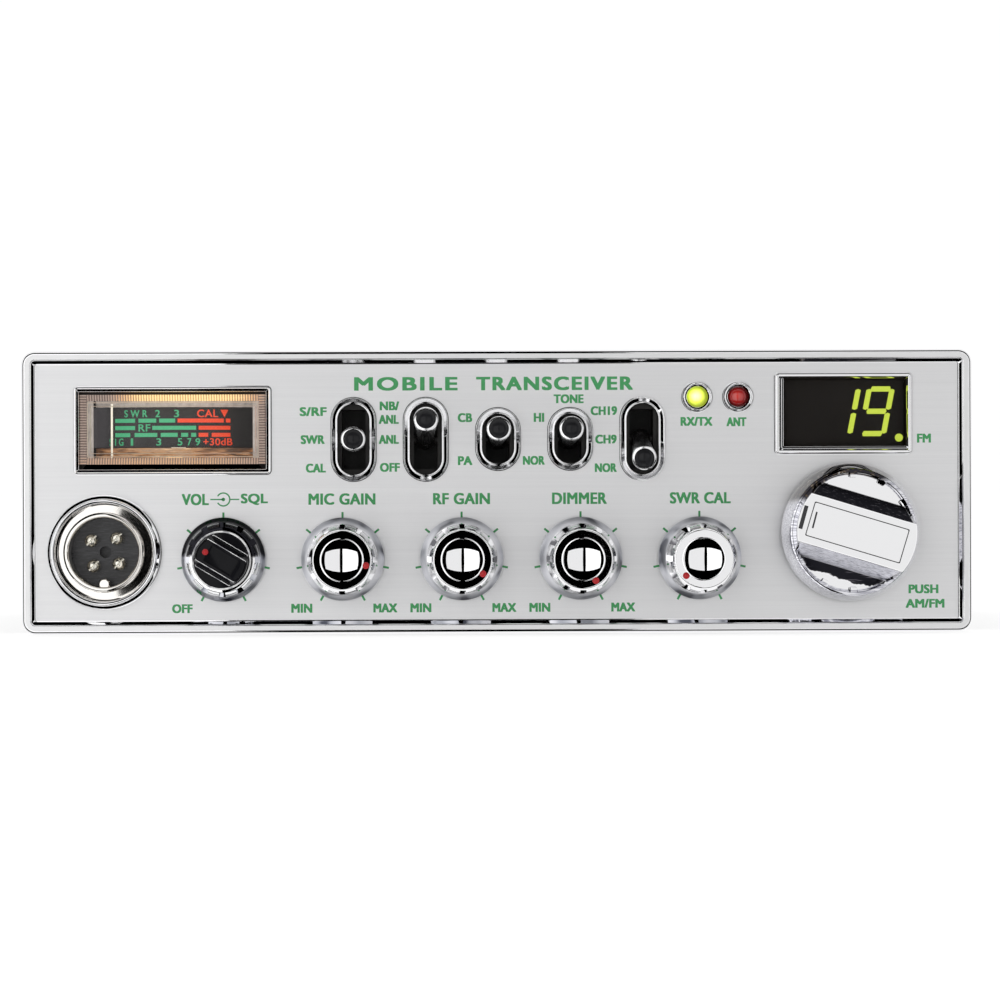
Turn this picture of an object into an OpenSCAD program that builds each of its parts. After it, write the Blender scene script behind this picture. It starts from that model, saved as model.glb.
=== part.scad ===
// Mobile transceiver: a dash-mount two-way radio in a folded steel case.
// Millimetres. +Z is up, the control panel faces -Y, and the origin lies under the
// middle of the whole object, on the plane that it stands on.

/* [Case] */
// Width of the chromed front frame
bezel_w = 190; // [188:0.5:194]
// Height of the chromed front frame
bezel_h = 56.6; // [56:0.2:60]
// Depth from the panel's face to the outside of the rear wall
body_d = 197; // [185:1:215]
// Width over the steel covers
case_w = 184.4; // [184:0.1:185]
// Height over the steel covers
case_h = 51.8; // [51.4:0.1:52]
// Thickness of the cover steel
cover_t = 0.9; // [0.7:0.1:1]
// Thickness of the chassis steel
chassis_t = 1.2; // [1:0.1:1.4]

/* [Panel layout] */
// Distance between neighbouring small knobs
knob_pitch = 23.8; // [23.4:0.1:24]
// Distance between neighbouring lever switches
lever_pitch = 14.45; // [14:0.05:14.6]
// Diameter of a small knob's skirt
knob_d = 16.6; // [16:0.2:17]
// Diameter of the channel knob
channel_d = 27.6; // [27:0.2:28.2]
// How far the channel knob stands out of the panel
knob_reach = 19; // [18:0.5:20]

/* [Sockets] */
// Outside diameter of the microphone socket's threaded barrel
mic_barrel_d = 16; // [15.8:0.1:16.2]
// Outside diameter of the antenna socket's threaded barrel
antenna_barrel_d = 15.88; // [15.8:0.02:16]
// Hole in the bracket nuts, before the M5 thread
bracket_hole_d = 4.2; // [4:0.1:4.4]
// Hole of the speaker jacks
jack_hole_d = 3.6; // [3.5:0.1:3.7]

/* [Movement] */
// Tilt of a three-way lever from its middle
lever_tilt = 13.2; // [10:0.2:14]
// Turn of the meter's needle from its middle
needle_turn = 31.4; // [26:0.2:32]

/* [Hidden] */
$fn = 64;
small = 0.01;

// Depths along Y
face_y = -body_d / 2;               // front of the aluminium panel
rear_y = body_d / 2;                // outside of the rear wall
plate_t = 0.8;                      // aluminium panel
back_t = 2;                         // plate of the chromed frame behind it
back_y = face_y + plate_t + back_t; // rear of that plate
skirt_y = face_y + 11;              // rear edge of the chromed frame
sub_y = face_y + 13;                // front of the steel sub-panel
sub_rear = sub_y + chassis_t;

// Heights
mid_z = bezel_h / 2;
case_z0 = mid_z - case_h / 2;
case_z1 = mid_z + case_h / 2;

// Chromed frame
frame_t = 2.35;
frame_rise = 2.2;
skirt_t = 2;
corner_r = 2.8;
groove = 0.4;
rim_rise = 1.2;

// Places on the panel, from its middle
knob_z = mid_z - 13.4;
knob_x = [for (i = [0:4]) -54.8 + i * knob_pitch];
channel_at = [70.4, mid_z - 8.3];
mic_at = [-78.6, mid_z - 11.9];
meter_at = [-64.9, mid_z + 12.4];
display_at = [69.3, mid_z + 15.4];
led_x = [40, 48.2];
led_z = mid_z + 18.8;
lever_z = mid_z + 10.5;
lever_x = [for (i = [0:4]) 0.15 + (i - 2) * lever_pitch];
lever_three_way = [true, true, false, false, true];
lever_rest = [0, lever_tilt, lever_tilt / 2, lever_tilt / 2, -lever_tilt];
boss_at = [[-36, 22], [15, 22], [-66, -21.8], [53.5, -21.8]];

// Windows and rims
meter_rim = [39.3, 17.5];
meter_hole = [37.2, 14.6];
display_rim = [27.4, 16.2];
display_hole = [24.9, 13.9];
lever_rim_w = 8.9;
lever_hole_w = 6.2;
led_rim_r = 3;
led_hole_r = 2.1;
mic_rim_r = 11.3;
mic_well_r = 9.7;
function lever_rim_h(i) = lever_three_way[i] ? 16.7 : 12.5;
function lever_hole_h(i) = lever_rim_h(i) - 2.7;

// Shafts and knobs
shaft_r = 3;
inner_shaft_r = 1.6;
run_gap = 0.05;
shaft_hole_r = 4.5;
flute_count = 12;
knob_gap = 0.8;

// Levers
pivot_y = face_y + 9;
lever_len = 18.3;

// Meter movement
needle_r = 24;
needle_y = face_y + 28.5;

// Sockets and sides
bracket_at = [-10, mid_z + 9];      // depth and height of the side nuts
antenna_at = [14, mid_z + 1];
jack_x = [40, 54];
power_at = [75, mid_z];
cover_screw_y = [-68, 84];
speaker_at = [-12, 12];
speaker_z = case_z0 + cover_t;
speaker_tag_z = speaker_z + 6;
board_z = mid_z + 1;
board_top = board_z + 1.6;
board_y0 = face_y + 46;
board_y1 = rear_y - 3;
board_notch_y = rear_y - 16;
board_w = 174;

// ---------------------------------------------------------------- helpers

// An outline in X and Z, as a slab from depth y0 to depth y1.
module slab(y0, y1) {
    translate([0, y1, 0]) rotate([90, 0, 0]) linear_extrude(y1 - y0) children();
}

// An outline placed on the panel.
module at(p) {
    translate([p[0], p[1]]) children();
}

module rounded_rect(w, h, r) {
    square([w - 2 * r, h], center = true);
    square([w, h - 2 * r], center = true);
    for (sx = [-1, 1], sy = [-1, 1])
        translate([sx * (w / 2 - r), sy * (h / 2 - r)]) circle(r);
}

module obround(w, h) {
    square([w, h - w], center = true);
    for (s = [-1, 1]) translate([0, s * (h - w) / 2]) circle(w / 2);
}

// A round rod along Y.
module rod(p, r, y0, y1) {
    translate([p[0], y0, p[1]]) rotate([-90, 0, 0]) cylinder(r = r, h = y1 - y0);
}

// A turned piece along Y: its profile is a list of [radius, depth].
module turned(p, profile) {
    translate([p[0], 0, p[1]]) rotate([-90, 0, 0]) rotate_extrude() polygon(profile);
}

// A box from one corner to the other.
module block(low, high) {
    translate(low) cube(high - low);
}

module hex_nut(p, r, hole_r, y0, y1) {
    difference() {
        translate([p[0], y0, p[1]]) rotate([-90, 0, 0]) cylinder(r = r, h = y1 - y0, $fn = 6);
        rod(p, hole_r, y0 - 1, y1 + 1);
    }
}

// Points along a smooth curve through the given ones.
function spline_point(p0, p1, p2, p3, t) =
    0.5 * ((2 * p1) + (p2 - p0) * t + (2 * p0 - 5 * p1 + 4 * p2 - p3) * t * t
        + (3 * p1 - p0 - 3 * p2 + p3) * t * t * t);
function smooth_path(route, steps) = [
    for (i = [0:len(route) - 2], s = [0:steps - 1])
        spline_point(route[max(i - 1, 0)], route[i], route[i + 1],
            route[min(i + 2, len(route) - 1)], s / steps),
    route[len(route) - 1]
];
function unit(v) = v / norm(v);
function heading(path, i) =
    unit(path[min(i + 1, len(path) - 1)] - path[max(i - 1, 0)]);

// A wire of radius r swept along a route. No stretch of the route runs along "across".
module wire(route, r, across, steps = 5, sides = 8) {
    path = smooth_path(route, steps);
    rings = len(path);
    points = [
        for (i = [0:rings - 1], k = [0:sides - 1])
            let (
                d = heading(path, i),
                a = unit(cross(d, across)),
                b = cross(d, a),
                turn = 360 * k / sides
            )
            path[i] + r * (cos(turn) * a + sin(turn) * b)
    ];
    sides_faces = [
        for (i = [0:rings - 2], k = [0:sides - 1])
            let (n = (k + 1) % sides)
            [i * sides + k, i * sides + n, (i + 1) * sides + n, (i + 1) * sides + k]
    ];
    first = [for (k = [sides - 1:-1:0]) k];
    last = [for (k = [0:sides - 1]) (rings - 1) * sides + k];
    polyhedron(points, concat(sides_faces, [first, last]), convexity = 6);
}

// ---------------------------------------------------------------- front panel

// The frame around the panel with the rims of all its windows, one chromed moulding.
module front_bezel() {
    color("gainsboro") difference() {
        union() {
            difference() {
                slab(face_y - frame_rise, skirt_y)
                    at([0, mid_z]) rounded_rect(bezel_w, bezel_h, corner_r);
                slab(face_y - frame_rise - 1, face_y + plate_t)
                    at([0, mid_z]) rounded_rect(bezel_w - 2 * frame_t, bezel_h - 2 * frame_t, 0.6);
                slab(back_y, skirt_y + 1)
                    at([0, mid_z]) rounded_rect(bezel_w - 2 * skirt_t, bezel_h - 2 * skirt_t, 1.5);
            }
            slab(face_y - rim_rise, back_y)
                at(meter_at) rounded_rect(meter_rim[0], meter_rim[1], 0.8);
            slab(face_y - rim_rise, back_y)
                at(display_at) rounded_rect(display_rim[0], display_rim[1], 0.8);
            for (i = [0:4])
                slab(face_y - rim_rise, back_y + 1.5)
                    at([lever_x[i], lever_z]) obround(lever_rim_w, lever_rim_h(i));
            for (x = led_x) rod([x, led_z], led_rim_r, face_y - rim_rise, back_y);
            rod(mic_at, mic_rim_r, face_y - frame_rise - 0.4, back_y + 2);
            for (b = boss_at) rod([b[0], mid_z + b[1]], 2.5, back_y - small, sub_y);
        }
        slab(face_y - 5, back_y + 5) at(meter_at) square(meter_hole, center = true);
        slab(face_y - 5, back_y + 5) at(display_at) square(display_hole, center = true);
        for (i = [0:4])
            slab(face_y - 5, back_y + 5)
                at([lever_x[i], lever_z]) obround(lever_hole_w, lever_hole_h(i));
        for (x = led_x) rod([x, led_z], led_hole_r, face_y - 5, back_y + 5);
        rod(mic_at, mic_well_r, face_y - 5, back_y);
        rod(mic_at, mic_barrel_d / 2 + 0.1, face_y - 5, back_y + 5);
        for (x = knob_x) rod([x, knob_z], shaft_hole_r, face_y - 5, back_y + 5);
        rod(channel_at, shaft_hole_r + 0.5, face_y - 5, back_y + 5);
        for (b = boss_at) rod([b[0], mid_z + b[1]], 1.1, sub_y - 7, sub_y + 1);
    }
}

// The brushed panel that drops into the frame, cut out round every rim.
module faceplate() {
    gap = 0.15;
    color("silver") difference() {
        slab(face_y, face_y + plate_t) at([0, mid_z])
            square([bezel_w - 2 * (frame_t + groove), bezel_h - 2 * (frame_t + groove)], center = true);
        slab(face_y - 1, face_y + 2) union() {
            at(meter_at) rounded_rect(meter_rim[0] + 2 * gap, meter_rim[1] + 2 * gap, 0.8 + gap);
            at(display_at)
                rounded_rect(display_rim[0] + 2 * gap, display_rim[1] + 2 * gap, 0.8 + gap);
            for (i = [0:4])
                at([lever_x[i], lever_z]) obround(lever_rim_w + 2 * gap, lever_rim_h(i) + 2 * gap);
            for (x = led_x) at([x, led_z]) circle(led_rim_r + gap);
            at(mic_at) circle(mic_rim_r + gap);
            for (x = knob_x) at([x, knob_z]) circle(shaft_hole_r);
            at(channel_at) circle(shaft_hole_r + 0.5);
        }
    }
}

// The steel plate that carries the controls, with a flange at each side.
module sub_panel() {
    w = case_w - 2 * (cover_t + chassis_t) - 0.8;
    h = case_h - 2 * cover_t - 3;
    color("darkgray") difference() {
        union() {
            slab(sub_y, sub_rear) at([0, mid_z]) square([w, h], center = true);
            for (s = [-1, 1])
                block([s > 0 ? w / 2 - chassis_t : -w / 2, sub_y, mid_z - 18],
                    [s > 0 ? w / 2 : -w / 2 + chassis_t, sub_rear + 9, mid_z + 18]);
        }
        slab(sub_y - 1, sub_rear + 1) union() {
            at(meter_at) square([39, 16.6], center = true);
            for (i = [0:4]) at([lever_x[i], lever_z])
                square([9.2, lever_three_way[i] ? 15.6 : 12.8], center = true);
            for (x = led_x) at([x, led_z]) circle(3.2);
            for (x = knob_x) at([x, knob_z]) circle(3.6);
            at(channel_at) circle(4.6);
            at(mic_at) circle(8.6);
        }
        for (b = boss_at) rod([b[0], mid_z + b[1]], 1.6, sub_y - 1, sub_rear + 1);
        for (s = [-1, 1]) translate([s * w / 2, sub_rear + 5, mid_z - 14])
            rotate([0, 90, 0]) cylinder(r = 1.5, h = 6, center = true);
    }
}

// ---------------------------------------------------------------- case

// Outline of the case in X and Z, pulled in by a margin.
module case_outline(margin, r) {
    at([0, mid_z]) rounded_rect(case_w - 2 * margin, case_h - 2 * margin, r);
}

// Two side walls and the rear wall, bent from one strip, with the ledges for the board.
module chassis_frame() {
    out_x = case_w / 2 - cover_t - 0.2;
    in_x = out_x - chassis_t;
    z0 = case_z0 + cover_t + 0.4;
    z1 = case_z1 - cover_t - 0.4;
    color("lightslategray") difference() {
        union() {
            translate([0, 0, z0]) linear_extrude(z1 - z0) difference() {
                translate([0, (sub_y + rear_y) / 2]) square([2 * out_x, rear_y - sub_y], center = true);
                translate([0, (sub_y + rear_y) / 2 - chassis_t])
                    square([2 * in_x, rear_y - sub_y], center = true);
            }
            for (s = [-1, 1]) block(
                [s > 0 ? in_x - 5 : -in_x - small, board_y0 - 2, board_z - chassis_t],
                [s > 0 ? in_x + small : -in_x + 5, rear_y - chassis_t, board_z]);
        }
        for (s = [-1, 1]) {
            translate([s * out_x, bracket_at[0], bracket_at[1]]) rotate([0, 90, 0])
                cylinder(r = 4.55, h = 8, center = true);
            for (y = cover_screw_y, dz = [-6, 6])
                translate([s * out_x, y, mid_z + dz]) rotate([0, 90, 0])
                    cylinder(r = 1.5, h = 8, center = true);
            translate([s * out_x, sub_rear + 5, mid_z - 14]) rotate([0, 90, 0])
                cylinder(r = 1.5, h = 8, center = true);
        }
        rod(antenna_at, 8.2, rear_y - 5, rear_y + 5);
        for (sx = [-1, 1], sz = [-1, 1])
            rod(antenna_at + [sx * 9.1, sz * 9.1], 1.5, rear_y - 5, rear_y + 5);
        for (x = jack_x) rod([x, mid_z], 3.1, rear_y - 5, rear_y + 5);
        slab(rear_y - 5, rear_y + 5) at(power_at) square([16.4, 11.4], center = true);
        for (x = heat_sink_screw_x) rod([x, mid_z - 12], 1.5, rear_y - 5, rear_y + 5);
    }
}

vent_count = 14;
vent_pitch = 9;
module top_cover() {
    color("#1c1c1e") difference() {
        union() {
            difference() {
                slab(back_y + 0.4, rear_y) case_outline(0, 2);
                slab(back_y, rear_y + 1) case_outline(cover_t, 1.1);
                slab(back_y, rear_y + 1)
                    at([0, mid_z + 0.2 - 50]) square([case_w + 10, 100], center = true);
            }
            block([-case_w / 2 + 3, rear_y, case_z1 - 6],
                [case_w / 2 - 3, rear_y + cover_t, case_z1 - 0.6]);
            block([-case_w / 2 + 3, rear_y - cover_t, case_z1 - cover_t - small],
                [case_w / 2 - 3, rear_y + cover_t, case_z1 - 0.6]);
        }
        for (i = [0:vent_count - 1], y = [28, 62])
            translate([(i - (vent_count - 1) / 2) * vent_pitch, y, case_z1 - 3])
                linear_extrude(6) obround(2.4, 26);
        side_holes(6);
    }
}

grille_r = 33;
grille_pitch = 4.8;
module bottom_cover() {
    color("#1c1c1e") difference() {
        union() {
            difference() {
                slab(back_y + 0.4, rear_y) case_outline(0, 2);
                slab(back_y, rear_y + 1) case_outline(cover_t, 1.1);
                slab(back_y, rear_y + 1)
                    at([0, mid_z - 0.2 + 50]) square([case_w + 10, 100], center = true);
            }
            block([-case_w / 2 + 3, rear_y - cover_t, case_z0 + 0.6],
                [case_w / 2 - 3, rear_y + cover_t, case_z0 + cover_t + small]);
            block([-case_w / 2 + 3, rear_y, case_z0 + 0.6],
                [case_w / 2 - 3, rear_y + cover_t, case_z0 + 6]);
        }
        for (i = [-6:6]) {
            reach = sqrt(grille_r * grille_r - pow(i * grille_pitch, 2));
            for (s = [-1, 1])
                translate([speaker_at[0] + i * grille_pitch, speaker_at[1] + s * (reach / 2 + 1), 0])
                    linear_extrude(6) obround(2.6, reach - 2);
        }
        side_holes(-6);
    }
}

// The holes in a cover's sides: the screws at one height, and the room for the bracket nuts.
module side_holes(dz) {
    for (s = [-1, 1]) {
        for (y = cover_screw_y) translate([s * case_w / 2, y, mid_z + dz])
            rotate([0, 90, 0]) cylinder(r = 1.7, h = 8, center = true);
        translate([s * case_w / 2, bracket_at[0], bracket_at[1]])
            rotate([0, 90, 0]) cylinder(r = 4.9, h = 8, center = true);
    }
}

// A pan-head screw with a cross recess, pointing along +Z with its head's seat at z = 0.
module pan_screw(head_r, head_h, shank_r, length) {
    difference() {
        union() {
            translate([0, 0, -head_h]) cylinder(r1 = head_r * 0.72, r2 = head_r, h = head_h * 0.55);
            translate([0, 0, -head_h * 0.45]) cylinder(r = head_r, h = head_h * 0.45);
            translate([0, 0, -small]) cylinder(r = shank_r, h = length);
        }
        for (a = [0, 90]) rotate([0, 0, a]) translate([0, 0, -head_h])
            cube([head_r * 1.1, 0.55, head_h * 0.9], center = true);
    }
}

module cover_screws() {
    color("#202022") for (s = [-1, 1], y = cover_screw_y, dz = [-6, 6])
        translate([s * case_w / 2, y, mid_z + dz]) rotate([0, -s * 90, 0])
            pan_screw(2.8, 1.7, 1.4, 5);
}

// Screws of the sub-panel, the heat sink and the antenna socket.
module chassis_screws() {
    color("silver") {
        for (b = boss_at) translate([b[0], sub_rear, mid_z + b[1]])
            rotate([90, 0, 0]) pan_screw(2.4, 1.6, 1.05, 8);
        for (s = [-1, 1]) translate([s * (case_w / 2 - cover_t - 0.2), sub_rear + 5, mid_z - 14])
            rotate([0, -s * 90, 0]) translate([0, 0, 1.0]) cylinder(r = 1.4, h = 4);
        for (sx = [-1, 1], sz = [-1, 1])
            translate([antenna_at[0] + sx * 9.1, rear_y + 2.2, antenna_at[1] + sz * 9.1])
                rotate([90, 0, 0]) pan_screw(2.5, 1.6, 1.4, 7);
        for (x = heat_sink_screw_x) translate([x, rear_y + 3, mid_z - 12])
            rotate([90, 0, 0]) pan_screw(2.6, 1.7, 1.4, 9);
    }
}

// Clinch nuts for the mounting bracket's thumb screws, flush with the covers.
module bracket_nuts() {
    inner = case_w / 2 - 7;
    wall = case_w / 2 - cover_t - 0.2 - chassis_t;
    color("silver") for (s = [-1, 1]) translate([0, bracket_at[0], bracket_at[1]])
        rotate([0, s * 90, 0]) difference() {
            union() {
                translate([0, 0, inner]) cylinder(r = 4.5, h = case_w / 2 - inner);
                translate([0, 0, inner]) cylinder(r = 6, h = wall - inner);
            }
            translate([0, 0, inner - 1]) cylinder(r = bracket_hole_d / 2, h = 12);
        }
}

heat_sink_x = [-82, -8];
heat_sink_screw_x = [-76, -14];
fin_count = 13;
module heat_sink() {
    pitch = (heat_sink_x[1] - heat_sink_x[0] - 2) / (fin_count - 1);
    color("#2a2a2c") difference() {
        union() {
            block([heat_sink_x[0], rear_y, mid_z - 17], [heat_sink_x[1], rear_y + 3, mid_z + 17]);
            for (i = [0:fin_count - 1])
                block([heat_sink_x[0] + 0.1 + i * pitch, rear_y + 3 - small, mid_z - 17],
                    [heat_sink_x[0] + 1.9 + i * pitch, rear_y + 13, mid_z + 17]);
        }
        for (x = heat_sink_screw_x) {
            rod([x, mid_z - 12], 1.5, rear_y - 1, rear_y + 5);
            rod([x, mid_z - 12], 4, rear_y + 3, rear_y + 20);
        }
    }
}

// ---------------------------------------------------------------- microphone socket

mic_front = face_y - 3;
mic_floor = face_y + 5;
mic_rear = face_y + 12;
pin_circle_r = 3.6;
module mic_shell() {
    r = mic_barrel_d / 2;
    color("silver") union() {
        difference() {
            union() {
                rod(mic_at, r, mic_front, mic_rear);
                rod(mic_at, mic_well_r - 0.2, back_y - 1.3, back_y);
            }
            rod(mic_at, r - 1.1, mic_front - 1, mic_rear + 1);
        }
        intersection() {
            rod(mic_at - [0, r - 1.1], 1.3, mic_front + 2, mic_floor);
            rod(mic_at, r - 0.5, mic_front, mic_floor);
        }
    }
}

function pin_at(k) = mic_at + pin_circle_r * [cos(50 + 90 * k), sin(50 + 90 * k)];
module mic_insulator() {
    color("#26262a") difference() {
        rod(mic_at, mic_barrel_d / 2 - 1.15, mic_floor, mic_rear);
        for (k = [0:3]) rod(pin_at(k), 0.97, mic_floor - 1, mic_rear + 1);
        rod(mic_at, 1.2, mic_floor - 1, mic_floor + 3);
    }
}

module mic_pins() {
    color("lightgoldenrodyellow") for (k = [0:3]) difference() {
        union() {
            rod(pin_at(k), 0.95, face_y + 2.2, mic_rear + 3);
            translate([pin_at(k)[0], face_y + 2.2, pin_at(k)[1]]) sphere(r = 0.95);
        }
        translate([pin_at(k)[0], face_y + 2.2, pin_at(k)[1]]) rotate([0, 45, 0])
            cube([0.3, 5, 4], center = true);
    }
}

// The nuts that hold the microphone socket, the controls and the jacks.
module panel_nuts() {
    color("silver") {
        hex_nut(mic_at, 10.6, mic_barrel_d / 2 + 0.02, back_y + 2, back_y + 4.5);
        for (x = knob_x) hex_nut([x, knob_z], 6.2, 3.52, sub_y - 2.2, sub_y);
        hex_nut(channel_at, 8, 4.42, sub_y - 2.4, sub_y);
        for (x = jack_x) hex_nut([x, mid_z], 5, 3.02, rear_y, rear_y + 2);
    }
}

// ---------------------------------------------------------------- meter

module meter_case() {
    y0 = back_y + 0.2;
    y1 = needle_y + 5;
    color("#18181a") difference() {
        union() {
            slab(y0, y1) at(meter_at) square([38.4, 15.8], center = true);
            slab(sub_rear, sub_rear + 1) at(meter_at) square([41.6, 18.6], center = true);
        }
        slab(y0 - 1, y1 - 1) at(meter_at) square([36.4, 13.8], center = true);
    }
}

// The scale plate, bent round the needle's axis, with a tab to each wall of the case.
dial_half = 15.8;
dial_low = -3.3;
dial_high = 4.7;
module meter_dial() {
    edge_y = needle_y - sqrt(pow(needle_r - 0.9, 2) - dial_half * dial_half);
    color("#2b2b2e") union() {
        intersection() {
            translate([meter_at[0], needle_y, meter_at[1] + dial_low]) difference() {
                cylinder(r = needle_r - 0.9, h = dial_high - dial_low);
                translate([0, 0, -1]) cylinder(r = needle_r - 1.4, h = 10);
            }
            block([meter_at[0] - dial_half, needle_y - needle_r, meter_at[1] - 4],
                [meter_at[0] + dial_half, needle_y - 10, meter_at[1] + 5]);
        }
        for (s = [-1, 1]) block(
            [meter_at[0] + (s > 0 ? dial_half - 0.4 : -18.2), edge_y, meter_at[1] + dial_low],
            [meter_at[0] + (s > 0 ? 18.2 : 0.4 - dial_half), edge_y + 0.5, meter_at[1] + dial_high]);
    }
}

module meter_needle() {
    color("#f4ecd8") translate([meter_at[0], needle_y, meter_at[1]])
        rotate([0, 0, -needle_turn]) difference() {
            union() {
                translate([0, 0, -5]) cylinder(r = 1.5, h = 4);
                translate([0, 0, -1.2]) cylinder(r = 3.1, h = 5);
                translate([-0.3, -needle_r, -4.9]) cube([0.6, needle_r - 1, 0.6]);
                translate([-0.25, -needle_r - 0.2, -4.9]) cube([0.5, 0.4, 11.2]);
            }
            translate([0, 0, -8]) cylinder(r = 0.56, h = 16);
        }
}

module meter_window() {
    color("white", 0.4) slab(face_y + 0.2, back_y + 0.1)
        at(meter_at) square([meter_hole[0] - 0.2, meter_hole[1] - 0.2], center = true);
}

// The magnet, the spindle and the lamp behind the scale plate.
module meter_movement() {
    color("dimgray") {
        translate([meter_at[0], needle_y, meter_at[1] - 6.9]) cylinder(r = 0.5, h = 13.8);
        for (s = [-1, 1]) block(
            [meter_at[0] + (s > 0 ? 4.2 : -8.5), needle_y - 4, meter_at[1] - 2.4],
            [meter_at[0] + (s > 0 ? 8.5 : -4.2), needle_y + 4, meter_at[1] + 5.5]);
        translate([meter_at[0], needle_y - needle_r + 5, meter_at[1] + 5.9])
            rotate([0, 90, 0]) cylinder(r = 1, h = 8, center = true);
    }
}

// ---------------------------------------------------------------- display and lamps

module display_window() {
    color("#1a1410", 0.8) slab(face_y + 0.1, back_y - 0.9)
        at(display_at) square([display_hole[0] - 0.1, display_hole[1] - 0.1], center = true);
}

digit_y = face_y + 2.4;
digit_h = 10;
digit_w = 4.6;
digit_slant = 11;
segment_t = 1.05;
segment_gap = 0.3;
module display_module() {
    color("#15110f") {
        slab(digit_y + 0.1, back_y + small)
            at(display_at) square([display_hole[0] - 0.4, display_hole[1] - 0.4], center = true);
        slab(back_y, back_y + 6)
            at(display_at) square([display_hole[0] + 3, display_hole[1] + 1.6], center = true);
    }
}

// One bar of a seven-segment figure, along X from the origin.
module segment(length) {
    half = segment_t / 2;
    polygon([[segment_gap, 0], [half, half], [length - half, half],
        [length - segment_gap, 0], [length - half, -half], [half, -half]]);
}

// A figure from its lit bars: a top, b c right, d bottom, e f left, g middle.
module figure(bars) {
    half = digit_h / 2 - segment_t / 2;
    upright = half + 0.3;
    slant = tan(digit_slant);
    multmatrix([[1, slant, 0, 0], [0, 1, 0, 0], [0, 0, 1, 0]]) {
        if (bars[0]) translate([0, half]) segment(digit_w);
        if (bars[1]) translate([digit_w, 0]) rotate(90) segment(upright);
        if (bars[2]) translate([digit_w, -upright]) rotate(90) segment(upright);
        if (bars[3]) translate([0, -half]) segment(digit_w);
        if (bars[4]) translate([0, -upright]) rotate(90) segment(upright);
        if (bars[5]) rotate(90) segment(upright);
        if (bars[6]) segment(digit_w);
    }
}

module channel_digits() {
    ones = display_at + [4.6, 0.45];
    tens = display_at + [-2.2, 0.45];
    color("#c8dc3c") slab(digit_y - 0.15, digit_y + 0.1) {
        at(tens) figure([false, true, true, false, false, false, false]);
        at(ones) figure([true, true, true, true, false, true, true]);
        at(display_at + [11.4, -4.85]) circle(0.8);
    }
}

module led(x) {
    rod([x, led_z], 1.85, face_y - 0.3, back_y + 4);
    intersection() {
        translate([x, face_y - 0.3, led_z]) sphere(r = 1.85);
        rod([x, led_z], 1.85, face_y - 1.4, face_y);
    }
    rod([x, led_z], 2.4, back_y, back_y + 1);
    for (dx = [-1, 1]) block([x + dx * 1.27 - 0.25, back_y + 4 - small, led_z - 0.25],
        [x + dx * 1.27 + 0.25, sub_rear + 6, led_z + 0.25]);
}
module receive_led() { color("#d8ee50") led(led_x[0]); }
module antenna_led() { color("#a01c1c") led(led_x[1]); }

// ---------------------------------------------------------------- knobs

small_top = face_y - 16;
dish_r = 4;
dish_d = 1.2;

// The grooves round a knob's grip.
module flutes(p, r, width, depth, y0, y1) {
    for (k = [0:flute_count - 1]) translate([p[0], (y0 + y1) / 2, p[1]])
        rotate([0, 360 * k / flute_count, 0]) translate([r, 0, 0])
            cube([2 * depth, y1 - y0, width], center = true);
}

// A small knob with a flared skirt, a fluted grip, a dished cap and a coloured dot on it.
module small_knob(x, dot_clock) {
    p = [x, knob_z];
    base = face_y - knob_gap;
    skirt_r = knob_d / 2;
    sphere_r = (dish_r * dish_r + dish_d * dish_d) / (2 * dish_d);
    dot = p + 4.85 * [sin(dot_clock), cos(dot_clock)];
    color("gainsboro") difference() {
        turned(p, [
            [0, small_top], [5.7, small_top], [6.1, small_top + 0.4], [6.75, small_top + 2.2],
            [6.85, base - 7], [7.15, base - 4.6], [7.6, base - 2.6], [skirt_r, base - 0.9],
            [skirt_r, base], [skirt_r - 1.1, base], [5.9, base - 4], [5.6, base - 10],
            [4.4, base - 10], [4.4, base - 0.5], [shaft_r + 0.01, base - 0.5],
            [shaft_r + 0.01, small_top + 3], [0, small_top + 3]]);
        translate([x, small_top + dish_d - sphere_r, knob_z]) sphere(r = sphere_r);
        flutes(p, 7, 1.1, 0.85, small_top - 1, base - 5.2);
        rod(dot, 0.7, small_top - 1, small_top + 0.5);
    }
    color("firebrick") rod(dot, 0.69, small_top - 0.15, small_top + 0.5);
}
module mic_gain_knob() { small_knob(knob_x[1], 103); }
module rf_gain_knob() { small_knob(knob_x[2], 125); }
module dimmer_knob() { small_knob(knob_x[3], 150); }
module swr_cal_knob() { small_knob(knob_x[4], -133); }

// A plain control's shaft with its wiper disc.
module control_shaft(x) {
    color("silver") union() {
        rod([x, knob_z], shaft_r, small_top + 3.1, sub_rear + 7);
        rod([x, knob_z], 6, sub_rear + 4, sub_rear + 5);
    }
}
module mic_gain_shaft() { control_shaft(knob_x[1]); }
module rf_gain_shaft() { control_shaft(knob_x[2]); }
module dimmer_shaft() { control_shaft(knob_x[3]); }
module swr_cal_shaft() { control_shaft(knob_x[4]); }

// The outer ring of the double control.
ring_top = face_y - 8.6;
module squelch_knob() {
    p = [knob_x[0], knob_z];
    base = face_y - knob_gap;
    skirt_r = knob_d / 2 + 0.1;
    color("gainsboro") difference() {
        turned(p, [
            [shaft_r + 0.01, ring_top + 2], [5.4, ring_top + 2], [5.9, ring_top], [6.4, ring_top],
            [7.2, ring_top + 1.4], [7.35, base - 3], [7.7, base - 1.8], [skirt_r, base - 0.8],
            [skirt_r, base], [skirt_r - 1.1, base], [6.3, base - 2.4], [6.1, base - 4.4],
            [4.4, base - 4.4], [4.4, base - 0.5], [shaft_r + 0.01, base - 0.5]]);
        flutes(p, 7.5, 1.3, 0.75, ring_top - 1, base - 2.4);
    }
}

module squelch_shaft() {
    p = [knob_x[0], knob_z];
    color("silver") difference() {
        union() {
            rod(p, shaft_r, ring_top + 1.8, sub_rear + 7);
            rod(p, 6, sub_rear + 4, sub_rear + 5);
        }
        rod(p, inner_shaft_r + run_gap, ring_top - 2, sub_rear + 8);
    }
}

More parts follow.
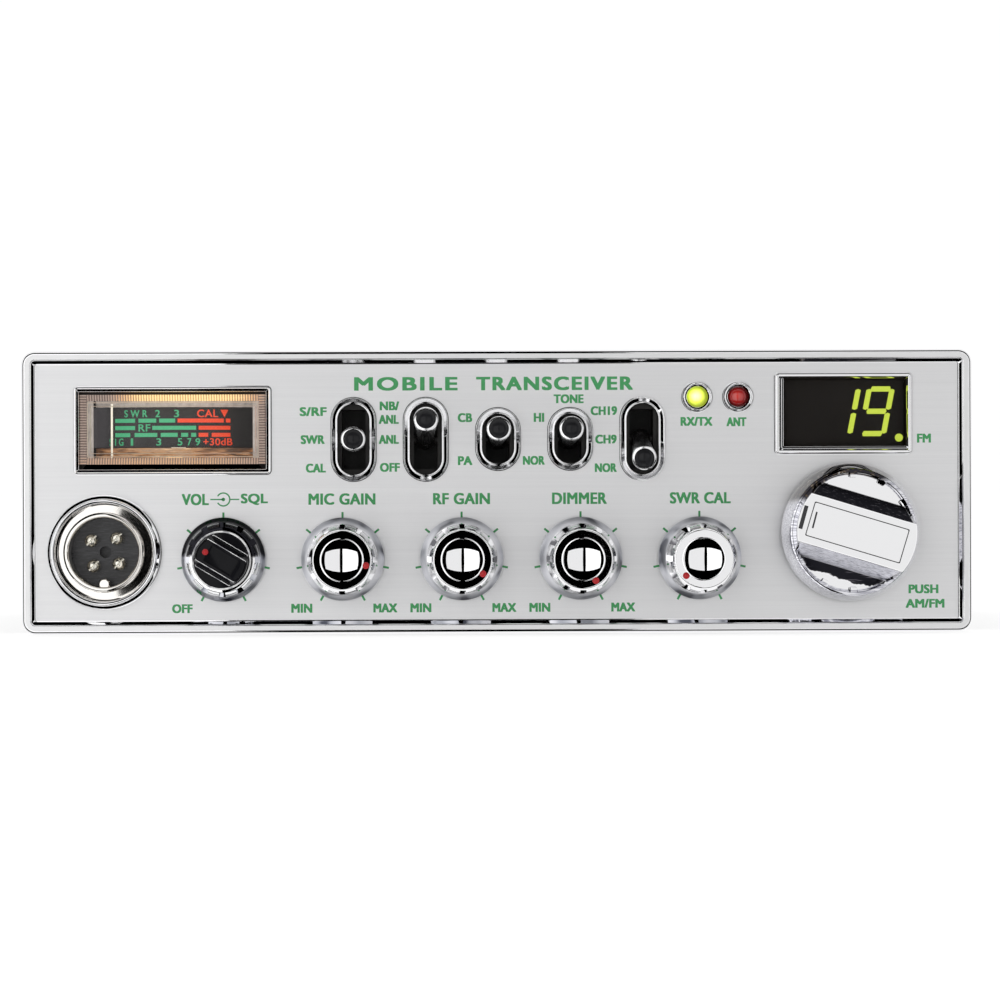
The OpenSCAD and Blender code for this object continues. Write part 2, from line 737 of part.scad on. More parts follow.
// The inner knob of the double control: a disc with a bar across it.
volume_top = face_y - 16;
volume_clock = -59.2;
volume_dot_clock = -63.6;
module volume_knob() {
    p = [knob_x[0], knob_z];
    seat = ring_top - 0.6;
    dot = p + 4.1 * [sin(volume_dot_clock), cos(volume_dot_clock)];
    color("#303034") difference() {
        union() {
            turned(p, [
                [inner_shaft_r + 0.01, seat], [5.8, seat], [5.8, seat - 3.2], [5.4, seat - 3.8],
                [0, seat - 3.8], [0, seat - 3], [inner_shaft_r + 0.01, seat - 3]]);
            intersection() {
                turned(p, [[0, seat - 3.4], [5.4, seat - 3.4], [5.2, volume_top], [0, volume_top]]);
                translate([p[0], 0, p[1]]) rotate([0, volume_clock + 90, 0])
                    block([-6, volume_top, -2.35], [6, seat - 3, 2.35]);
            }
        }
        rod(p, inner_shaft_r + 0.01, volume_top + 2, seat + 1);
        rod(dot, 0.65, volume_top - 1, volume_top + 0.5);
    }
    color("firebrick") rod(dot, 0.64, volume_top - 0.15, volume_top + 0.5);
}

module volume_shaft() {
    p = [knob_x[0], knob_z];
    color("silver") union() {
        rod(p, inner_shaft_r, volume_top + 2.1, sub_rear + 18);
        rod(p, 6, sub_rear + 13, sub_rear + 14);
    }
}

// A round control body behind the sub-panel, with a chamber for each wiper disc.
module control_body(p, length, bore_r) {
    difference() {
        union() {
            rod(p, 8.2, sub_rear, sub_rear + length);
            rod(p, 3.5, sub_rear - 8, sub_rear + small);
            block([p[0] - 5, sub_rear + 3, p[1] - 10.6], [p[0] + 5, sub_rear + 4.2, p[1] - 7]);
        }
        rod(p, bore_r, sub_rear - 9, sub_rear + 7.6);
        rod(p, 6.6, sub_rear + 3, sub_rear + 6);
    }
}

module potentiometers() {
    color("slategray") {
        for (i = [1:4]) control_body([knob_x[i], knob_z], 9, shaft_r + run_gap);
        p = [knob_x[0], knob_z];
        difference() {
            union() {
                control_body(p, 18.6, shaft_r + run_gap);
                block([p[0] - 6.5, sub_rear + 18.6 - small, p[1] - 6.5],
                    [p[0] + 6.5, sub_rear + 27, p[1] + 6.5]);
            }
            rod(p, inner_shaft_r + run_gap, sub_rear, sub_rear + 18.3);
            rod(p, 6.6, sub_rear + 12, sub_rear + 15);
        }
    }
}

// The channel knob: a dished disc with a wide grip across it.
channel_rear = face_y - 2.2;
channel_top = face_y - knob_reach;
channel_clock = 106.8;
module channel_knob() {
    p = channel_at;
    r = channel_d / 2;
    rim_r = r - 0.55;
    grip_r = r - 1.9;
    floor_y = channel_rear - 6;
    rim_y = channel_rear - 8.4;
    color("gainsboro") difference() {
        union() {
            difference() {
                turned(p, [[0, rim_y], [rim_r - 0.5, rim_y], [rim_r, rim_y + 0.5], [r, channel_rear - 1],
                    [r - 0.2, channel_rear], [0, channel_rear]]);
                rod(p, rim_r - 0.95, rim_y - 1, floor_y);
            }
            intersection() {
                turned(p, [[0, channel_top], [grip_r - 0.5, channel_top], [grip_r, channel_top + 0.5],
                    [grip_r + 0.2, rim_y + 0.3], [grip_r + 0.2, floor_y + 1], [0, floor_y + 1]]);
                translate([p[0], 0, p[1]]) rotate([0, channel_clock - 90, 0])
                    slab_taper(channel_top, floor_y + 1, 4.85, 7.7, 2 * r);
            }
        }
        rod(p, shaft_r + 0.01, channel_top + 4, channel_rear + 1);
        turned(p, [[4.6, channel_rear + 1], [r - 1.6, channel_rear + 1], [r - 1.9, floor_y + 1.6],
            [4.6, floor_y + 1.6]]);
        translate([p[0], 0, p[1]]) rotate([0, channel_clock - 90, 0])
            block([-9.6, channel_top - 1, -3.35], [9.6, channel_top + 0.35, 3.35]);
    }
}

// A bar along X whose half-width in Z grows from front to rear.
module slab_taper(y0, y1, half0, half1, length) {
    translate([-length / 2, 0, 0]) rotate([90, 0, 90]) linear_extrude(length)
        polygon([[y0, -half0], [y0, half0], [y1, half1], [y1, -half1]]);
}

channel_push = 1.5;
module channel_shaft() {
    color("silver") union() {
        rod(channel_at, shaft_r, channel_top + 4.1, face_y + 33);
        rod(channel_at, 9.8, face_y + 21, face_y + 23);
    }
}

module channel_plunger() {
    color("firebrick") rod(channel_at, 2.5, face_y + 33.1, face_y + 40);
}

module channel_switch() {
    p = channel_at;
    color("#3a3f46") difference() {
        union() {
            slab(sub_rear, face_y + 44) at(p) square([25, 25], center = true);
            rod(p, 4.4, sub_rear - 8, sub_rear + small);
        }
        rod(p, shaft_r + run_gap, sub_rear - 9, face_y + 33 + channel_push + 0.1);
        rod(p, 10.5, face_y + 18, face_y + 30);
        rod(p, 2.56, face_y + 33, face_y + 42);
    }
}

// ---------------------------------------------------------------- lever switches

// A lever with its pivot pin, a sleeve that widens to the tip, and a domed bead in its end.
module lever(i) {
    translate([lever_x[i], pivot_y, lever_z]) rotate([-lever_rest[i], 0, 0]) {
        color("gainsboro") union() {
            turned([0, 0], concat(
                [for (bead = [[0, 1.1], [0.8, 0.96], [1.4, 0.65], [1.9, 0.15]])
                    [bead[0], -lever_len - bead[1]]],
                [[1.9, -lever_len], [2.45, -lever_len], [1.6, -1.9], [2.1, -1.2], [2.1, 1.2],
                    [0.9, 2], [0.9, 5], [0, 5]]));
            rotate([0, 90, 0]) cylinder(r = 0.8, h = 6.6, center = true);
        }
    }
}
module meter_lever() { lever(0); }
module noise_lever() { lever(1); }
module pa_lever() { lever(2); }
module tone_lever() { lever(3); }
module priority_lever() { lever(4); }

module switch_body(i) {
    half = lever_three_way[i] ? 7.4 : 6;
    translate([lever_x[i], 0, lever_z]) {
        difference() {
            union() {
                block([-4.3, back_y + 1.9, -half], [4.3, pivot_y + 10, half]);
                block([-5.6, sub_rear, -half - 1.8], [5.6, sub_rear + 1, half + 1.8]);
            }
            block([-2.4, back_y, -half + 1.4], [2.4, pivot_y + 7, half - 1.4]);
            translate([0, pivot_y, 0]) rotate([0, 90, 0]) cylinder(r = 0.86, h = 7, center = true);
        }
        for (k = [-1, 0, 1])
            block([-1, pivot_y + 10 - small, k * 3.4 - 0.25], [1, pivot_y + 14, k * 3.4 + 0.25]);
    }
}
module switch_bodies() {
    color("#1d1d20") for (i = [0:4]) switch_body(i);
}

// ---------------------------------------------------------------- inside

module main_board() {
    color("#1f5a38") difference() {
        block([-board_w / 2, board_y0, board_z], [board_w / 2, board_y1, board_top]);
        block([2, board_notch_y, board_z - 1], [board_w, rear_y, board_top + 1]);
        for (sx = [-1, 1], y = [board_y0 + 8, board_notch_y - 8])
            translate([sx * (board_w / 2 - 3), y, board_z - 1]) cylinder(r = 1.4, h = 4);
    }
}

can_at = [for (row = [0:2], k = [0:5]) [-66 + k * 15 + row * 4, -36 + row * 22]];
module tuning_cans() {
    color("lightgray") for (c = can_at) difference() {
        block([c[0] - 5, c[1] - 5, board_top], [c[0] + 5, c[1] + 5, board_top + 12]);
        translate([c[0], c[1], board_top + 9]) cylinder(r = 2.4, h = 5);
    }
}

capacitor_at = [[38, -34, 5, 13], [52, -30, 6.5, 17], [70, -34, 5, 13], [42, -12, 4, 11],
    [72, 4, 8, 20], [54, 10, 5, 12], [-76, 60, 4, 11], [-62, 66, 5, 12], [40, 74, 5, 14]];
module capacitors() {
    color("#1c2a4a") for (c = capacitor_at)
        translate([c[0], c[1], board_top]) cylinder(r = c[2], h = c[3]);
}

// Integrated circuits on the board, and the power transistors on the rear wall.
module chips() {
    inner = rear_y - chassis_t;
    color("#18181a") {
        for (c = [[-30, 52, 20, 7], [0, 52, 20, 7], [26, 30, 16, 7], [-70, 30, 9, 14]])
            block([c[0] - c[2] / 2, c[1] - c[3] / 2, board_top],
                [c[0] + c[2] / 2, c[1] + c[3] / 2, board_top + 3.8]);
        for (x = [-66, -46, -26]) union() {
            block([x - 5, inner - 4.8, board_top + 3], [x + 5, inner - 0.1, board_top + 12]);
            block([x - 5, inner - 1.4, board_top + 12 - small], [x + 5, inner - 0.1, board_top + 18.5]);
            for (k = [-1, 0, 1]) block([x + k * 2.5 - 0.4, inner - 3, board_top],
                [x + k * 2.5 + 0.4, inner - 2.4, board_top + 3.2]);
        }
    }
}

module audio_transformer() {
    c = [62, 50];
    color("#4a3a2a") {
        difference() {
            block([c[0] - 14, c[1] - 8, board_top], [c[0] + 14, c[1] + 8, board_top + 19]);
            for (s = [-1, 1]) block([c[0] + s * 7 - 2.6, c[1] - 9, board_top + 4],
                [c[0] + s * 7 + 2.6, c[1] + 9, board_top + 15]);
        }
        difference() {
            block([c[0] - 9.5, c[1] - 12, board_top + 4.1], [c[0] + 9.5, c[1] + 12, board_top + 14.9]);
            block([c[0] - 4.5, c[1] - 13, board_top + 3], [c[0] + 4.5, c[1] + 13, board_top + 16]);
            for (s = [-1, 1]) block([c[0] + s * 20 - 10.6, c[1] - 8.1, board_top + 3],
                [c[0] + s * 20 + 10.6, c[1] + 8.1, board_top + 16]);
        }
    }
}

// Leads from the board to the meter, to the channel switch, to the power socket and to the speaker.
switch_top = channel_at[1] + 12.5;
loom_across = [[1, 0, 0], [1, 0, 0], [1, 0, 0], [0.7, 0.7, 0]];
loom_routes = [
    [[-64, board_y0 + 4, board_top], [-64, board_y0 + 3, board_top + 7],
        [-64, needle_y + 11, meter_at[1] + 2], [-64, needle_y + 5.5, meter_at[1] + 1]],
    [[66, board_y0 + 4, board_top], [66, board_y0 + 3, board_top + 6],
        [67, board_y0 - 4, board_top + 7], [68, board_y0 - 8, switch_top + 0.5]],
    [[81, rear_y - 38, board_top], [81, rear_y - 36, board_top + 8],
        [79, rear_y - 18, board_top + 9], [75, rear_y - 10.9, mid_z + 3]],
    [[20, -44, board_z], [19, -43, board_z - 7], [2, -32, 18], [-12, -19, speaker_tag_z + 0.6]]
];
module wiring_loom() {
    color("#8a1f1f") for (i = [0:3], side = [-0.9, 0.9])
        wire([for (p = loom_routes[i]) p + side * loom_across[i]], 0.7, loom_across[i]);
}

// ---------------------------------------------------------------- speaker

module speaker_frame() {
    color("darkslategray") translate([speaker_at[0], speaker_at[1], speaker_z]) union() {
        difference() {
            rotate_extrude() polygon([[30.6, 0], [38.5, 0], [38.5, 1.2], [34.6, 1.2], [17, 13.4],
                [17, 15], [9.6, 15], [9.6, 13.8], [15.8, 13.8], [15.8, 12.8], [32.6, 1.2], [30.6, 1.2]]);
            for (a = [45:90:359]) rotate([0, 0, a]) translate([24, 0, 8])
                cube([11, 14, 12], center = true);
        }
        translate([-3, -32.5, 4]) cube([6, 3, 2]);
    }
}

module speaker_magnet() {
    color("#2a2a2c") translate([speaker_at[0], speaker_at[1], speaker_z]) difference() {
        translate([0, 0, 15]) cylinder(r = 16, h = 7.6);
        translate([0, 0, 14]) difference() {
            cylinder(r = 9.4, h = 6.6);
            translate([0, 0, -1]) cylinder(r = 7.4, h = 10);
        }
    }
}

module speaker_cone() {
    color("#2e2a26") translate([speaker_at[0], speaker_at[1], speaker_z])
        rotate_extrude() polygon([[28.6, 1.6], [29.8, 1.6], [29.8, 2], [28.6, 2.4], [9, 11.6],
            [8.6, 11.8], [8.6, 17.6], [8.1, 17.6], [8.1, 11.4], [0, 8.4], [0, 8], [8.4, 10.9]]);
}

// ---------------------------------------------------------------- rear sockets

antenna_reach = 19;
module antenna_socket() {
    r = antenna_barrel_d / 2;
    color("silver") difference() {
        union() {
            slab(rear_y, rear_y + 2.2) at(antenna_at) rounded_rect(25.4, 25.4, 2);
            rod(antenna_at, r, rear_y + 2.2 - small, rear_y + antenna_reach);
            rod(antenna_at, 8, rear_y - 6, rear_y + small);
        }
        rod(antenna_at, 6.3, rear_y + 3, rear_y + 30);
        rod(antenna_at, 4.5, rear_y - 7, rear_y + 5);
        for (sx = [-1, 1], sz = [-1, 1])
            rod(antenna_at + [sx * 9.1, sz * 9.1], 1.5, rear_y - 1, rear_y + 4);
    }
}

module antenna_insulator() {
    color("ivory") difference() {
        union() {
            rod(antenna_at, 4.45, rear_y - 6, rear_y + 5.5);
            rod(antenna_at, 6.25, rear_y + 3.05, rear_y + 5.5);
            rod(antenna_at, 2.9, rear_y - 9, rear_y + 14.3);
        }
        rod(antenna_at, 2, rear_y + 3, rear_y + 20);
    }
}

power_depth = 10.5;
module power_socket() {
    color("ivory") {
        difference() {
            union() {
                slab(rear_y - 10, rear_y + 5) at(power_at) square([16, 11], center = true);
                slab(rear_y, rear_y + 1.6) at(power_at) square([20, 14.4], center = true);
            }
            slab(rear_y + 5 - power_depth, rear_y + 6) at(power_at) square([13.4, 8.4], center = true);
        }
        for (k = [-1, 0, 1])
            rod(power_at + [k * 4.2, 0], 1.05, rear_y + 5 - power_depth, rear_y + 0.3);
    }
}

module speaker_jacks() {
    color("#1d1d20") for (x = jack_x) difference() {
        union() {
            rod([x, mid_z], 3, rear_y - chassis_t - small, rear_y + 3);
            block([x - 4.5, rear_y - 15, mid_z - 5], [x + 4.5, rear_y - chassis_t, mid_z + 5]);
        }
        rod([x, mid_z], jack_hole_d / 2, rear_y - 12, rear_y + 4);
    }
}

// ---------------------------------------------------------------- the nodes

front_bezel();
faceplate();
sub_panel();
chassis_frame();
top_cover();
bottom_cover();
cover_screws();
chassis_screws();
bracket_nuts();
heat_sink();
mic_shell();
mic_insulator();
mic_pins();
panel_nuts();
meter_case();
meter_dial();
meter_needle();
meter_window();
meter_movement();
display_window();
display_module();
channel_digits();
receive_led();
antenna_led();
volume_knob();
volume_shaft();
squelch_knob();
squelch_shaft();
mic_gain_knob();
mic_gain_shaft();
rf_gain_knob();
rf_gain_shaft();
dimmer_knob();
dimmer_shaft();
swr_cal_knob();
swr_cal_shaft();
potentiometers();
channel_knob();
channel_shaft();
channel_plunger();
channel_switch();
meter_lever();
noise_lever();
pa_lever();
tone_lever();
priority_lever();
switch_bodies();
main_board();
tuning_cans();
capacitors();
chips();
audio_transformer();
wiring_loom();
speaker_frame();
speaker_magnet();
speaker_cone();
antenna_socket();
antenna_insulator();
power_socket();
speaker_jacks();
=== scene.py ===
# %% [markdown]
# # A mobile transceiver, made piece by piece
# The packed model arrives as a fixed frame: every solid is already in its place, in metres.
# This lesson gives each solid a finish, and swaps the ones that the eye rests on for finer meshes.
# The frame comes first, because every later position is read from it.

# %% Load the frame
from math import asin, atan2, copysign, cos, degrees, hypot, pi, radians, sin, sqrt, tau

import bmesh
import bpy
from mathutils import Matrix, Quaternion, Vector


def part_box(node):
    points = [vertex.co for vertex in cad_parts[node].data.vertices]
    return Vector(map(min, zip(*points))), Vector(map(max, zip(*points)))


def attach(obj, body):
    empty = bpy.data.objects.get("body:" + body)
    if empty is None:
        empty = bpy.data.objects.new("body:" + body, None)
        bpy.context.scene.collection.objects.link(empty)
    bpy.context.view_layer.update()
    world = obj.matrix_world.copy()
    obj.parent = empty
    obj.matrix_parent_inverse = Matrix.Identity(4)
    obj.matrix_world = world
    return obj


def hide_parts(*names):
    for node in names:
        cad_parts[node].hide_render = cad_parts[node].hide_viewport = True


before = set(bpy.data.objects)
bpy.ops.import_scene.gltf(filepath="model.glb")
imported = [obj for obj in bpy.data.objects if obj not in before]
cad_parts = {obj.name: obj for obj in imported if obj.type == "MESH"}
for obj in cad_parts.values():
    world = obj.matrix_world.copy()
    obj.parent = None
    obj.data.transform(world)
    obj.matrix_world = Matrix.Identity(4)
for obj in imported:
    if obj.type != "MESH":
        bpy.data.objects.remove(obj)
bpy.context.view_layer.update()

# %% [markdown]
# The shapes below are thought out in millimetres, as a maker would, so the frame's boxes are
# turned into millimetres here. Each position is the middle or the edge of a solid's box.

# %% Read the places
MM = 0.001


def span(node):
    low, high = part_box(node)
    return low / MM, high / MM


def middle(node):
    low, high = span(node)
    return (low + high) / 2


frame_low, frame_high = span("front_bezel")
panel_low, panel_high = span("faceplate")
face = panel_low.y
mid_z = (frame_low.z + frame_high.z) / 2
back = face + 2.8
rear = span("heat_sink")[0].y
lever_z = middle("switch_bodies").z
print("panel at y", round(face, 2), "rear wall at y", round(rear, 2), "middle height", round(mid_z, 2))

# %% [markdown]
# A finish is a network of nodes. Wiring it by hand is long, so one small class wraps a socket and
# lets numbers be combined with + - * /, which adds Math nodes. A second class holds a material:
# its `add` makes any node, its settings first and its sockets after. Colours go through Mix nodes.

# %% Sockets and finishes
class Socket:
    """One output of a finish's nodes, which can be used in sums."""

    def __init__(self, finish, output):
        self.finish, self.output = finish, output

    def _math(self, operation, *values):
        return self.finish.add("ShaderNodeMath", {"operation": operation}, dict(enumerate(values)))

    def __add__(self, other): return self._math("ADD", self, other)
    def __radd__(self, other): return self._math("ADD", other, self)
    def __sub__(self, other): return self._math("SUBTRACT", self, other)
    def __rsub__(self, other): return self._math("SUBTRACT", other, self)
    def __mul__(self, other): return self._math("MULTIPLY", self, other)
    def __rmul__(self, other): return self._math("MULTIPLY", other, self)
    def __truediv__(self, other): return self._math("DIVIDE", self, other)
    def __pow__(self, other): return self._math("POWER", self, other)
    def __abs__(self): return self._math("ABSOLUTE", self)

    def above(self, edge, soft):
        """0 below the edge and 1 above it, with a soft step of that width."""
        return self.finish.add("ShaderNodeMapRange", {"interpolation_type": "SMOOTHSTEP"},
                               {0: self, 1: edge - soft / 2, 2: edge + soft / 2, 3: 0, 4: 1})


class Finish:
    """A material with one Principled shader. Plain numbers and colours are set on its sockets."""

    def __init__(self, name, **constants):
        self.material = bpy.data.materials.new(name)
        self.material.use_nodes = True
        self.tree = self.material.node_tree
        self.shader = self.tree.nodes["Principled BSDF"]
        self.set(**constants)

    def set(self, **values):
        for name, value in values.items():
            self._feed(self.shader.inputs[name.replace("_", " ").title().replace("Ior", "IOR")], value)
        return self

    def fed(self, name):
        """What feeds one of the shader's sockets at present."""
        return Socket(self, self.shader.inputs[name].links[0].from_socket)

    def _feed(self, socket, value):
        if isinstance(value, Socket):
            self.tree.links.new(value.output, socket)
        elif isinstance(value, tuple) and len(value) == 3 and socket.type == "RGBA":
            socket.default_value = (*value, 1)
        else:
            socket.default_value = value

    def add(self, kind, settings=None, sockets=None, out=0):
        node = self.tree.nodes.new(kind)
        for name, value in (settings or {}).items():
            if name == "stops":
                ramp = node.color_ramp.elements
                while len(ramp) < len(value):
                    ramp.new(1)
                for stop, (position, colour) in zip(ramp, value):
                    stop.position, stop.color = position, (*colour, 1)
            else:
                setattr(node, name, value)
        for key, value in (sockets or {}).items():
            self._feed(node.inputs[key], value)
        return Socket(self, node.outputs[out])

    def place(self, stretch=(1, 1, 1), turn=(0, 0, 0)):
        """The point on the piece, in millimetres, times a stretch along each axis."""
        here = self.add("ShaderNodeTexCoord", out="Object")
        return self.add("ShaderNodeMapping", sockets={
            "Vector": here, "Scale": tuple(s / MM for s in stretch), "Rotation": turn})

    def noise(self, stretch=(1, 1, 1), detail=2.0, rough=0.5, turn=(0, 0, 0)):
        return self.add("ShaderNodeTexNoise", sockets={
            "Vector": self.place(stretch, turn), "Scale": 1.0, "Detail": detail, "Roughness": rough})

    def axis(self, name):
        """One coordinate of the point on the piece, in millimetres."""
        return self.add("ShaderNodeSeparateXYZ", sockets={0: self.place()}, out=name)

    def ramp(self, factor, *stops):
        return self.add("ShaderNodeValToRGB", {"stops": stops}, {0: factor})

    def mix(self, factor, first, second):
        return self.add("ShaderNodeMix", {"data_type": "RGBA"}, {0: factor, 6: first, 7: second}, out=2)

    def relief(self, height, strength=0.3, depth=0.05):
        """Bumps from a height between 0 and 1, for a full height of depth millimetres."""
        return self.set(normal=self.add("ShaderNodeBump", sockets={
            "Strength": strength, "Distance": depth * MM, "Height": height}))


print("a finish adds nodes with", [n for n in vars(Finish) if not n.startswith("_")])

# %% [markdown]
# Nearly everything on a radio's front is either a turned part or an outline that changes size as
# it goes back. Both are one idea: a stack of rings with the same number of points, joined by faces.
# `loft` joins the stack, `turned` makes the rings by going round an axis that points out of the
# panel, and `rounded` draws the outline of a rounded rectangle, a slot or a circle.

# %% Rings, lofts and turned shapes
def rounded(w, h, r, steps=6):
    """A rounded rectangle round the origin, anticlockwise from its right side, as (x, z)."""
    points = []
    for k, (sx, sz) in enumerate(((1, 1), (-1, 1), (-1, -1), (1, -1))):
        for i in range(steps + 1):
            a = (k + i / steps) * pi / 2
            points.append((sx * (w / 2 - r) + r * cos(a), sz * (h / 2 - r) + r * sin(a)))
    return points


def level(outline, at, y, turn=0.0):
    """An outline put at a place and depth, turned clockwise by that many degrees."""
    c, s = cos(radians(turn)), sin(radians(turn))
    return [(at[0] + x * c + z * s, y, at[1] - x * s + z * c) for x, z in outline]


def loft(rings, closed=False):
    count, total = len(rings[0]), len(rings)
    points = [p for ring in rings for p in ring]
    faces = []
    for i in range(total if closed else total - 1):
        a, b = i * count, (i + 1) % total * count
        faces += [(a + k, a + (k + 1) % count, b + (k + 1) % count, b + k) for k in range(count)]
    if not closed:
        faces += [tuple(range(count)), tuple(range((total - 1) * count, total * count))]
    return points, faces


def rim(at, stations, steps=6):
    """A closed rim from its section: stations of (width, height, corner, depth)."""
    return loft([level(rounded(w, h, r, steps), at, y) for w, h, r, y in stations], closed=True)


def even(count):
    return [tau * k / count for k in range(count)]


def turned(at, section, closed=False, angles=None, shape=None):
    """A section of (radius, depth) taken round an axis. shape() may change the radius."""
    angles = angles or even(96)
    rings = []
    for r, y in section:
        reach = [shape(r, y, a) if shape else r for a in angles]
        rings.append([(at[0] + q * cos(a), y, at[1] + q * sin(a)) for q, a in zip(reach, angles)])
    return loft(rings, closed)


def moved(solid, change):
    """A solid with every point passed through a function or a matrix."""
    points, faces = solid
    if isinstance(change, Matrix):
        return [tuple(change @ Vector(p)) for p in points], faces
    return [change(*p) for p in points], faces


made = []


def piece(name, solids, finish, body, slot=None, stands_for=(), sharp=32):
    """Joins solids into one named mesh, gives it its finish and puts it on its body."""
    mesh = bpy.data.meshes.new(name)
    build = bmesh.new()
    for points, faces in solids:
        corners = [build.verts.new(Vector(p) * MM) for p in points]
        for face_corners in faces:
            build.faces.new([corners[k] for k in face_corners])
    bmesh.ops.remove_doubles(build, verts=build.verts, dist=0.0004 * MM)
    bmesh.ops.dissolve_degenerate(build, edges=build.edges, dist=0.0002 * MM)
    bmesh.ops.recalc_face_normals(build, faces=build.faces)
    build.to_mesh(mesh)
    build.free()
    mesh.polygons.foreach_set("use_smooth", [True] * len(mesh.polygons))
    mesh.set_sharp_from_angle(angle=radians(sharp))
    mesh.materials.append(finish.material)
    thing = bpy.data.objects.new(name, mesh)
    bpy.context.scene.collection.objects.link(thing)
    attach(thing, body)
    if stands_for:
        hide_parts(*stands_for)
    made.append(thing)
    return thing


def coat(finish, *nodes):
    """Gives a finish to solids that keep their own shape."""
    for node in nodes:
        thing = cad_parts[node]
        for k in range(len(thing.material_slots)):
            thing.material_slots[k].material = finish.material
        if not thing.material_slots:
            thing.data.materials.append(finish.material)


print("a slot's outline has", len(rounded(6, 12, 3)), "points")

# %% [markdown]
# The radio stands on a pale floor in a white studio. The bright metal shows what is in front of it,
# so the lights matter more than the finish: one large soft light on each side of the camera with a
# dark gap between them, and a black card behind, give plated parts their white and black bands.
# A long lens from a metre away keeps the panel square.

# %% Camera, lights and floor
CAMERA_AWAY = 1.03
camera_x, camera_y = -0.0195, face * MM - CAMERA_AWAY
camera_at = Vector((camera_x, camera_y, mid_z * MM))
aim = Vector((0.0005, face * MM, (mid_z - 1.7) * MM))
camera = bpy.data.objects.new("camera", bpy.data.cameras.new("camera"))
camera.data.lens, camera.data.sensor_width = 185.4, 36
camera.location = camera_at
camera.rotation_mode = "QUATERNION"
camera.rotation_quaternion = ((aim - camera_at).to_track_quat("-Z", "Y")
                              @ Quaternion((0, 0, 1), radians(-0.2)))
bpy.context.scene.collection.objects.link(camera)
bpy.context.scene.camera = camera
bpy.context.scene.view_settings.view_transform = "Standard"


def soft_light(name, left, right, low, high, y, glow):
    """An upright rectangular light that faces the radio, as bright as glow."""
    lamp = bpy.data.lights.new(name, "AREA")
    lamp.shape, lamp.size, lamp.size_y = "RECTANGLE", right - left, high - low
    lamp.energy = 4 * glow * lamp.size * lamp.size_y
    thing = bpy.data.objects.new(name, lamp)
    thing.location = ((left + right) / 2, y, (low + high) / 2)
    thing.rotation_euler = (pi / 2, 0, 0)
    thing.visible_camera = False
    bpy.context.scene.collection.objects.link(thing)
    return thing


LIGHT_Y, LIGHT_HALF = camera_y - 0.002, 0.75
mid = mid_z * MM
soft_light("left_light", -1.4, -0.089, mid - LIGHT_HALF, mid + LIGHT_HALF, LIGHT_Y, 1.05)
soft_light("right_light", 0.075, 1.4, mid - LIGHT_HALF, mid + LIGHT_HALF, LIGHT_Y, 0.70)


def sheet_of(name, corners, finish):
    mesh = bpy.data.meshes.new(name)
    mesh.from_pydata(corners, [], [(0, 1, 2, 3)])
    mesh.materials.append(finish.material)
    thing = bpy.data.objects.new(name, mesh)
    bpy.context.scene.collection.objects.link(thing)
    return thing


CARD, CARD_Y = 3.2, camera_y - 0.25
card = sheet_of("black_card", [(-CARD, CARD_Y, -CARD), (CARD, CARD_Y, -CARD), (CARD, CARD_Y, CARD),
                               (-CARD, CARD_Y, CARD)],
                Finish("black card", base_color=(0.0, 0.0, 0.0), roughness=1.0, specular_ior_level=0.0))
card.visible_camera = False

WIDE = 30
pale = Finish("pale floor", roughness=0.9, specular_ior_level=0.0, emission_color=(1.0, 1.0, 1.0),
              emission_strength=0.7)
pale.set(base_color=pale.mix(pale.noise((0.02, 0.02, 0.02)), (0.46, 0.46, 0.46), (0.5, 0.5, 0.5)))
floor = sheet_of("floor", [(-WIDE, -WIDE, 0), (WIDE, -WIDE, 0), (WIDE, WIDE, 0), (-WIDE, WIDE, 0)], pale)
floor.visible_glossy = floor.visible_shadow = False

world = bpy.data.worlds.new("studio")
world.use_nodes = True
world.node_tree.nodes["Background"].inputs["Color"].default_value = (1, 1, 1, 1)
world.node_tree.nodes["Background"].inputs["Strength"].default_value = 1.02
bpy.context.scene.world = world
print("camera", [round(v, 4) for v in camera.location], "lens", camera.data.lens)

# %% [markdown]
# Plating on plastic is a mirror, but never a perfect one: the moulding under it has a faint ripple,
# and handling leaves it a little duller in places. A ripple of a few microns and a roughness that
# drifts between two low values give that. The outer frame is plated satin, so it is rougher.

# %% Plated finishes
def plated(name, colour, smooth, dull, ripple=0.004, spread=(0.25, 0.25, 0.25)):
    finish = Finish(name, metallic=1.0)
    drift = finish.noise(spread, detail=3)
    finish.set(base_color=finish.mix(drift, colour, tuple(c * 0.95 for c in colour)),
               roughness=smooth + drift * (dull - smooth))
    return finish.relief(finish.noise((0.35, 0.35, 0.35), detail=1), 0.5, ripple)


bright_chrome = plated("bright chrome", (0.93, 0.93, 0.94), 0.015, 0.05)
satin_chrome = plated("satin chrome", (0.93, 0.93, 0.935), 0.36, 0.44)


def skirted(name, edge, reach, grip=None):
    """Bright plating with a painted reflection: grey and near-black patches on the skirt beyond a depth
    from the panel, and light and dark facets on the grip when grip is given.
    """
    finish = plated(name, (0.92, 0.92, 0.93), 0.012, 0.04, ripple=0.003)
    skirt_reflection_noise = finish.noise((0.2, 0.2, 0.2), detail=1)
    depth, colour = finish.axis("Y"), (0.92, 0.92, 0.93)
    if grip:
        # The grip's light and dark facets are a painted reflection.
        grip_reflection = finish.ramp(finish.noise((0.42, 0.03, 0.42), detail=0), (0.38, (0.12, 0.12, 0.13)),
                             (0.5, (0.55, 0.55, 0.57)), (0.58, (0.9, 0.9, 0.92)))
        colour = finish.mix(depth.above(face - grip, 0.2), colour, grip_reflection)
    # The skirt's grey and near-black patches are a painted reflection of the studio.
    grey = finish.ramp(skirt_reflection_noise, (0.34, (0.06, 0.065, 0.085)), (0.42, (0.36, 0.37, 0.41)),
                       (0.52, (0.56, 0.57, 0.61)), (0.72, (0.74, 0.74, 0.78)))
    return finish.set(base_color=finish.mix(depth.above(face - edge, reach), colour, grey))


knob_chrome = skirted("knob chrome", 5.6, 0.4, grip=14.6)
nickel = plated("nickel plate", (0.86, 0.83, 0.79), 0.035, 0.10)
print("plated finishes:", [m.name for m in bpy.data.materials if "chrome" in m.name])

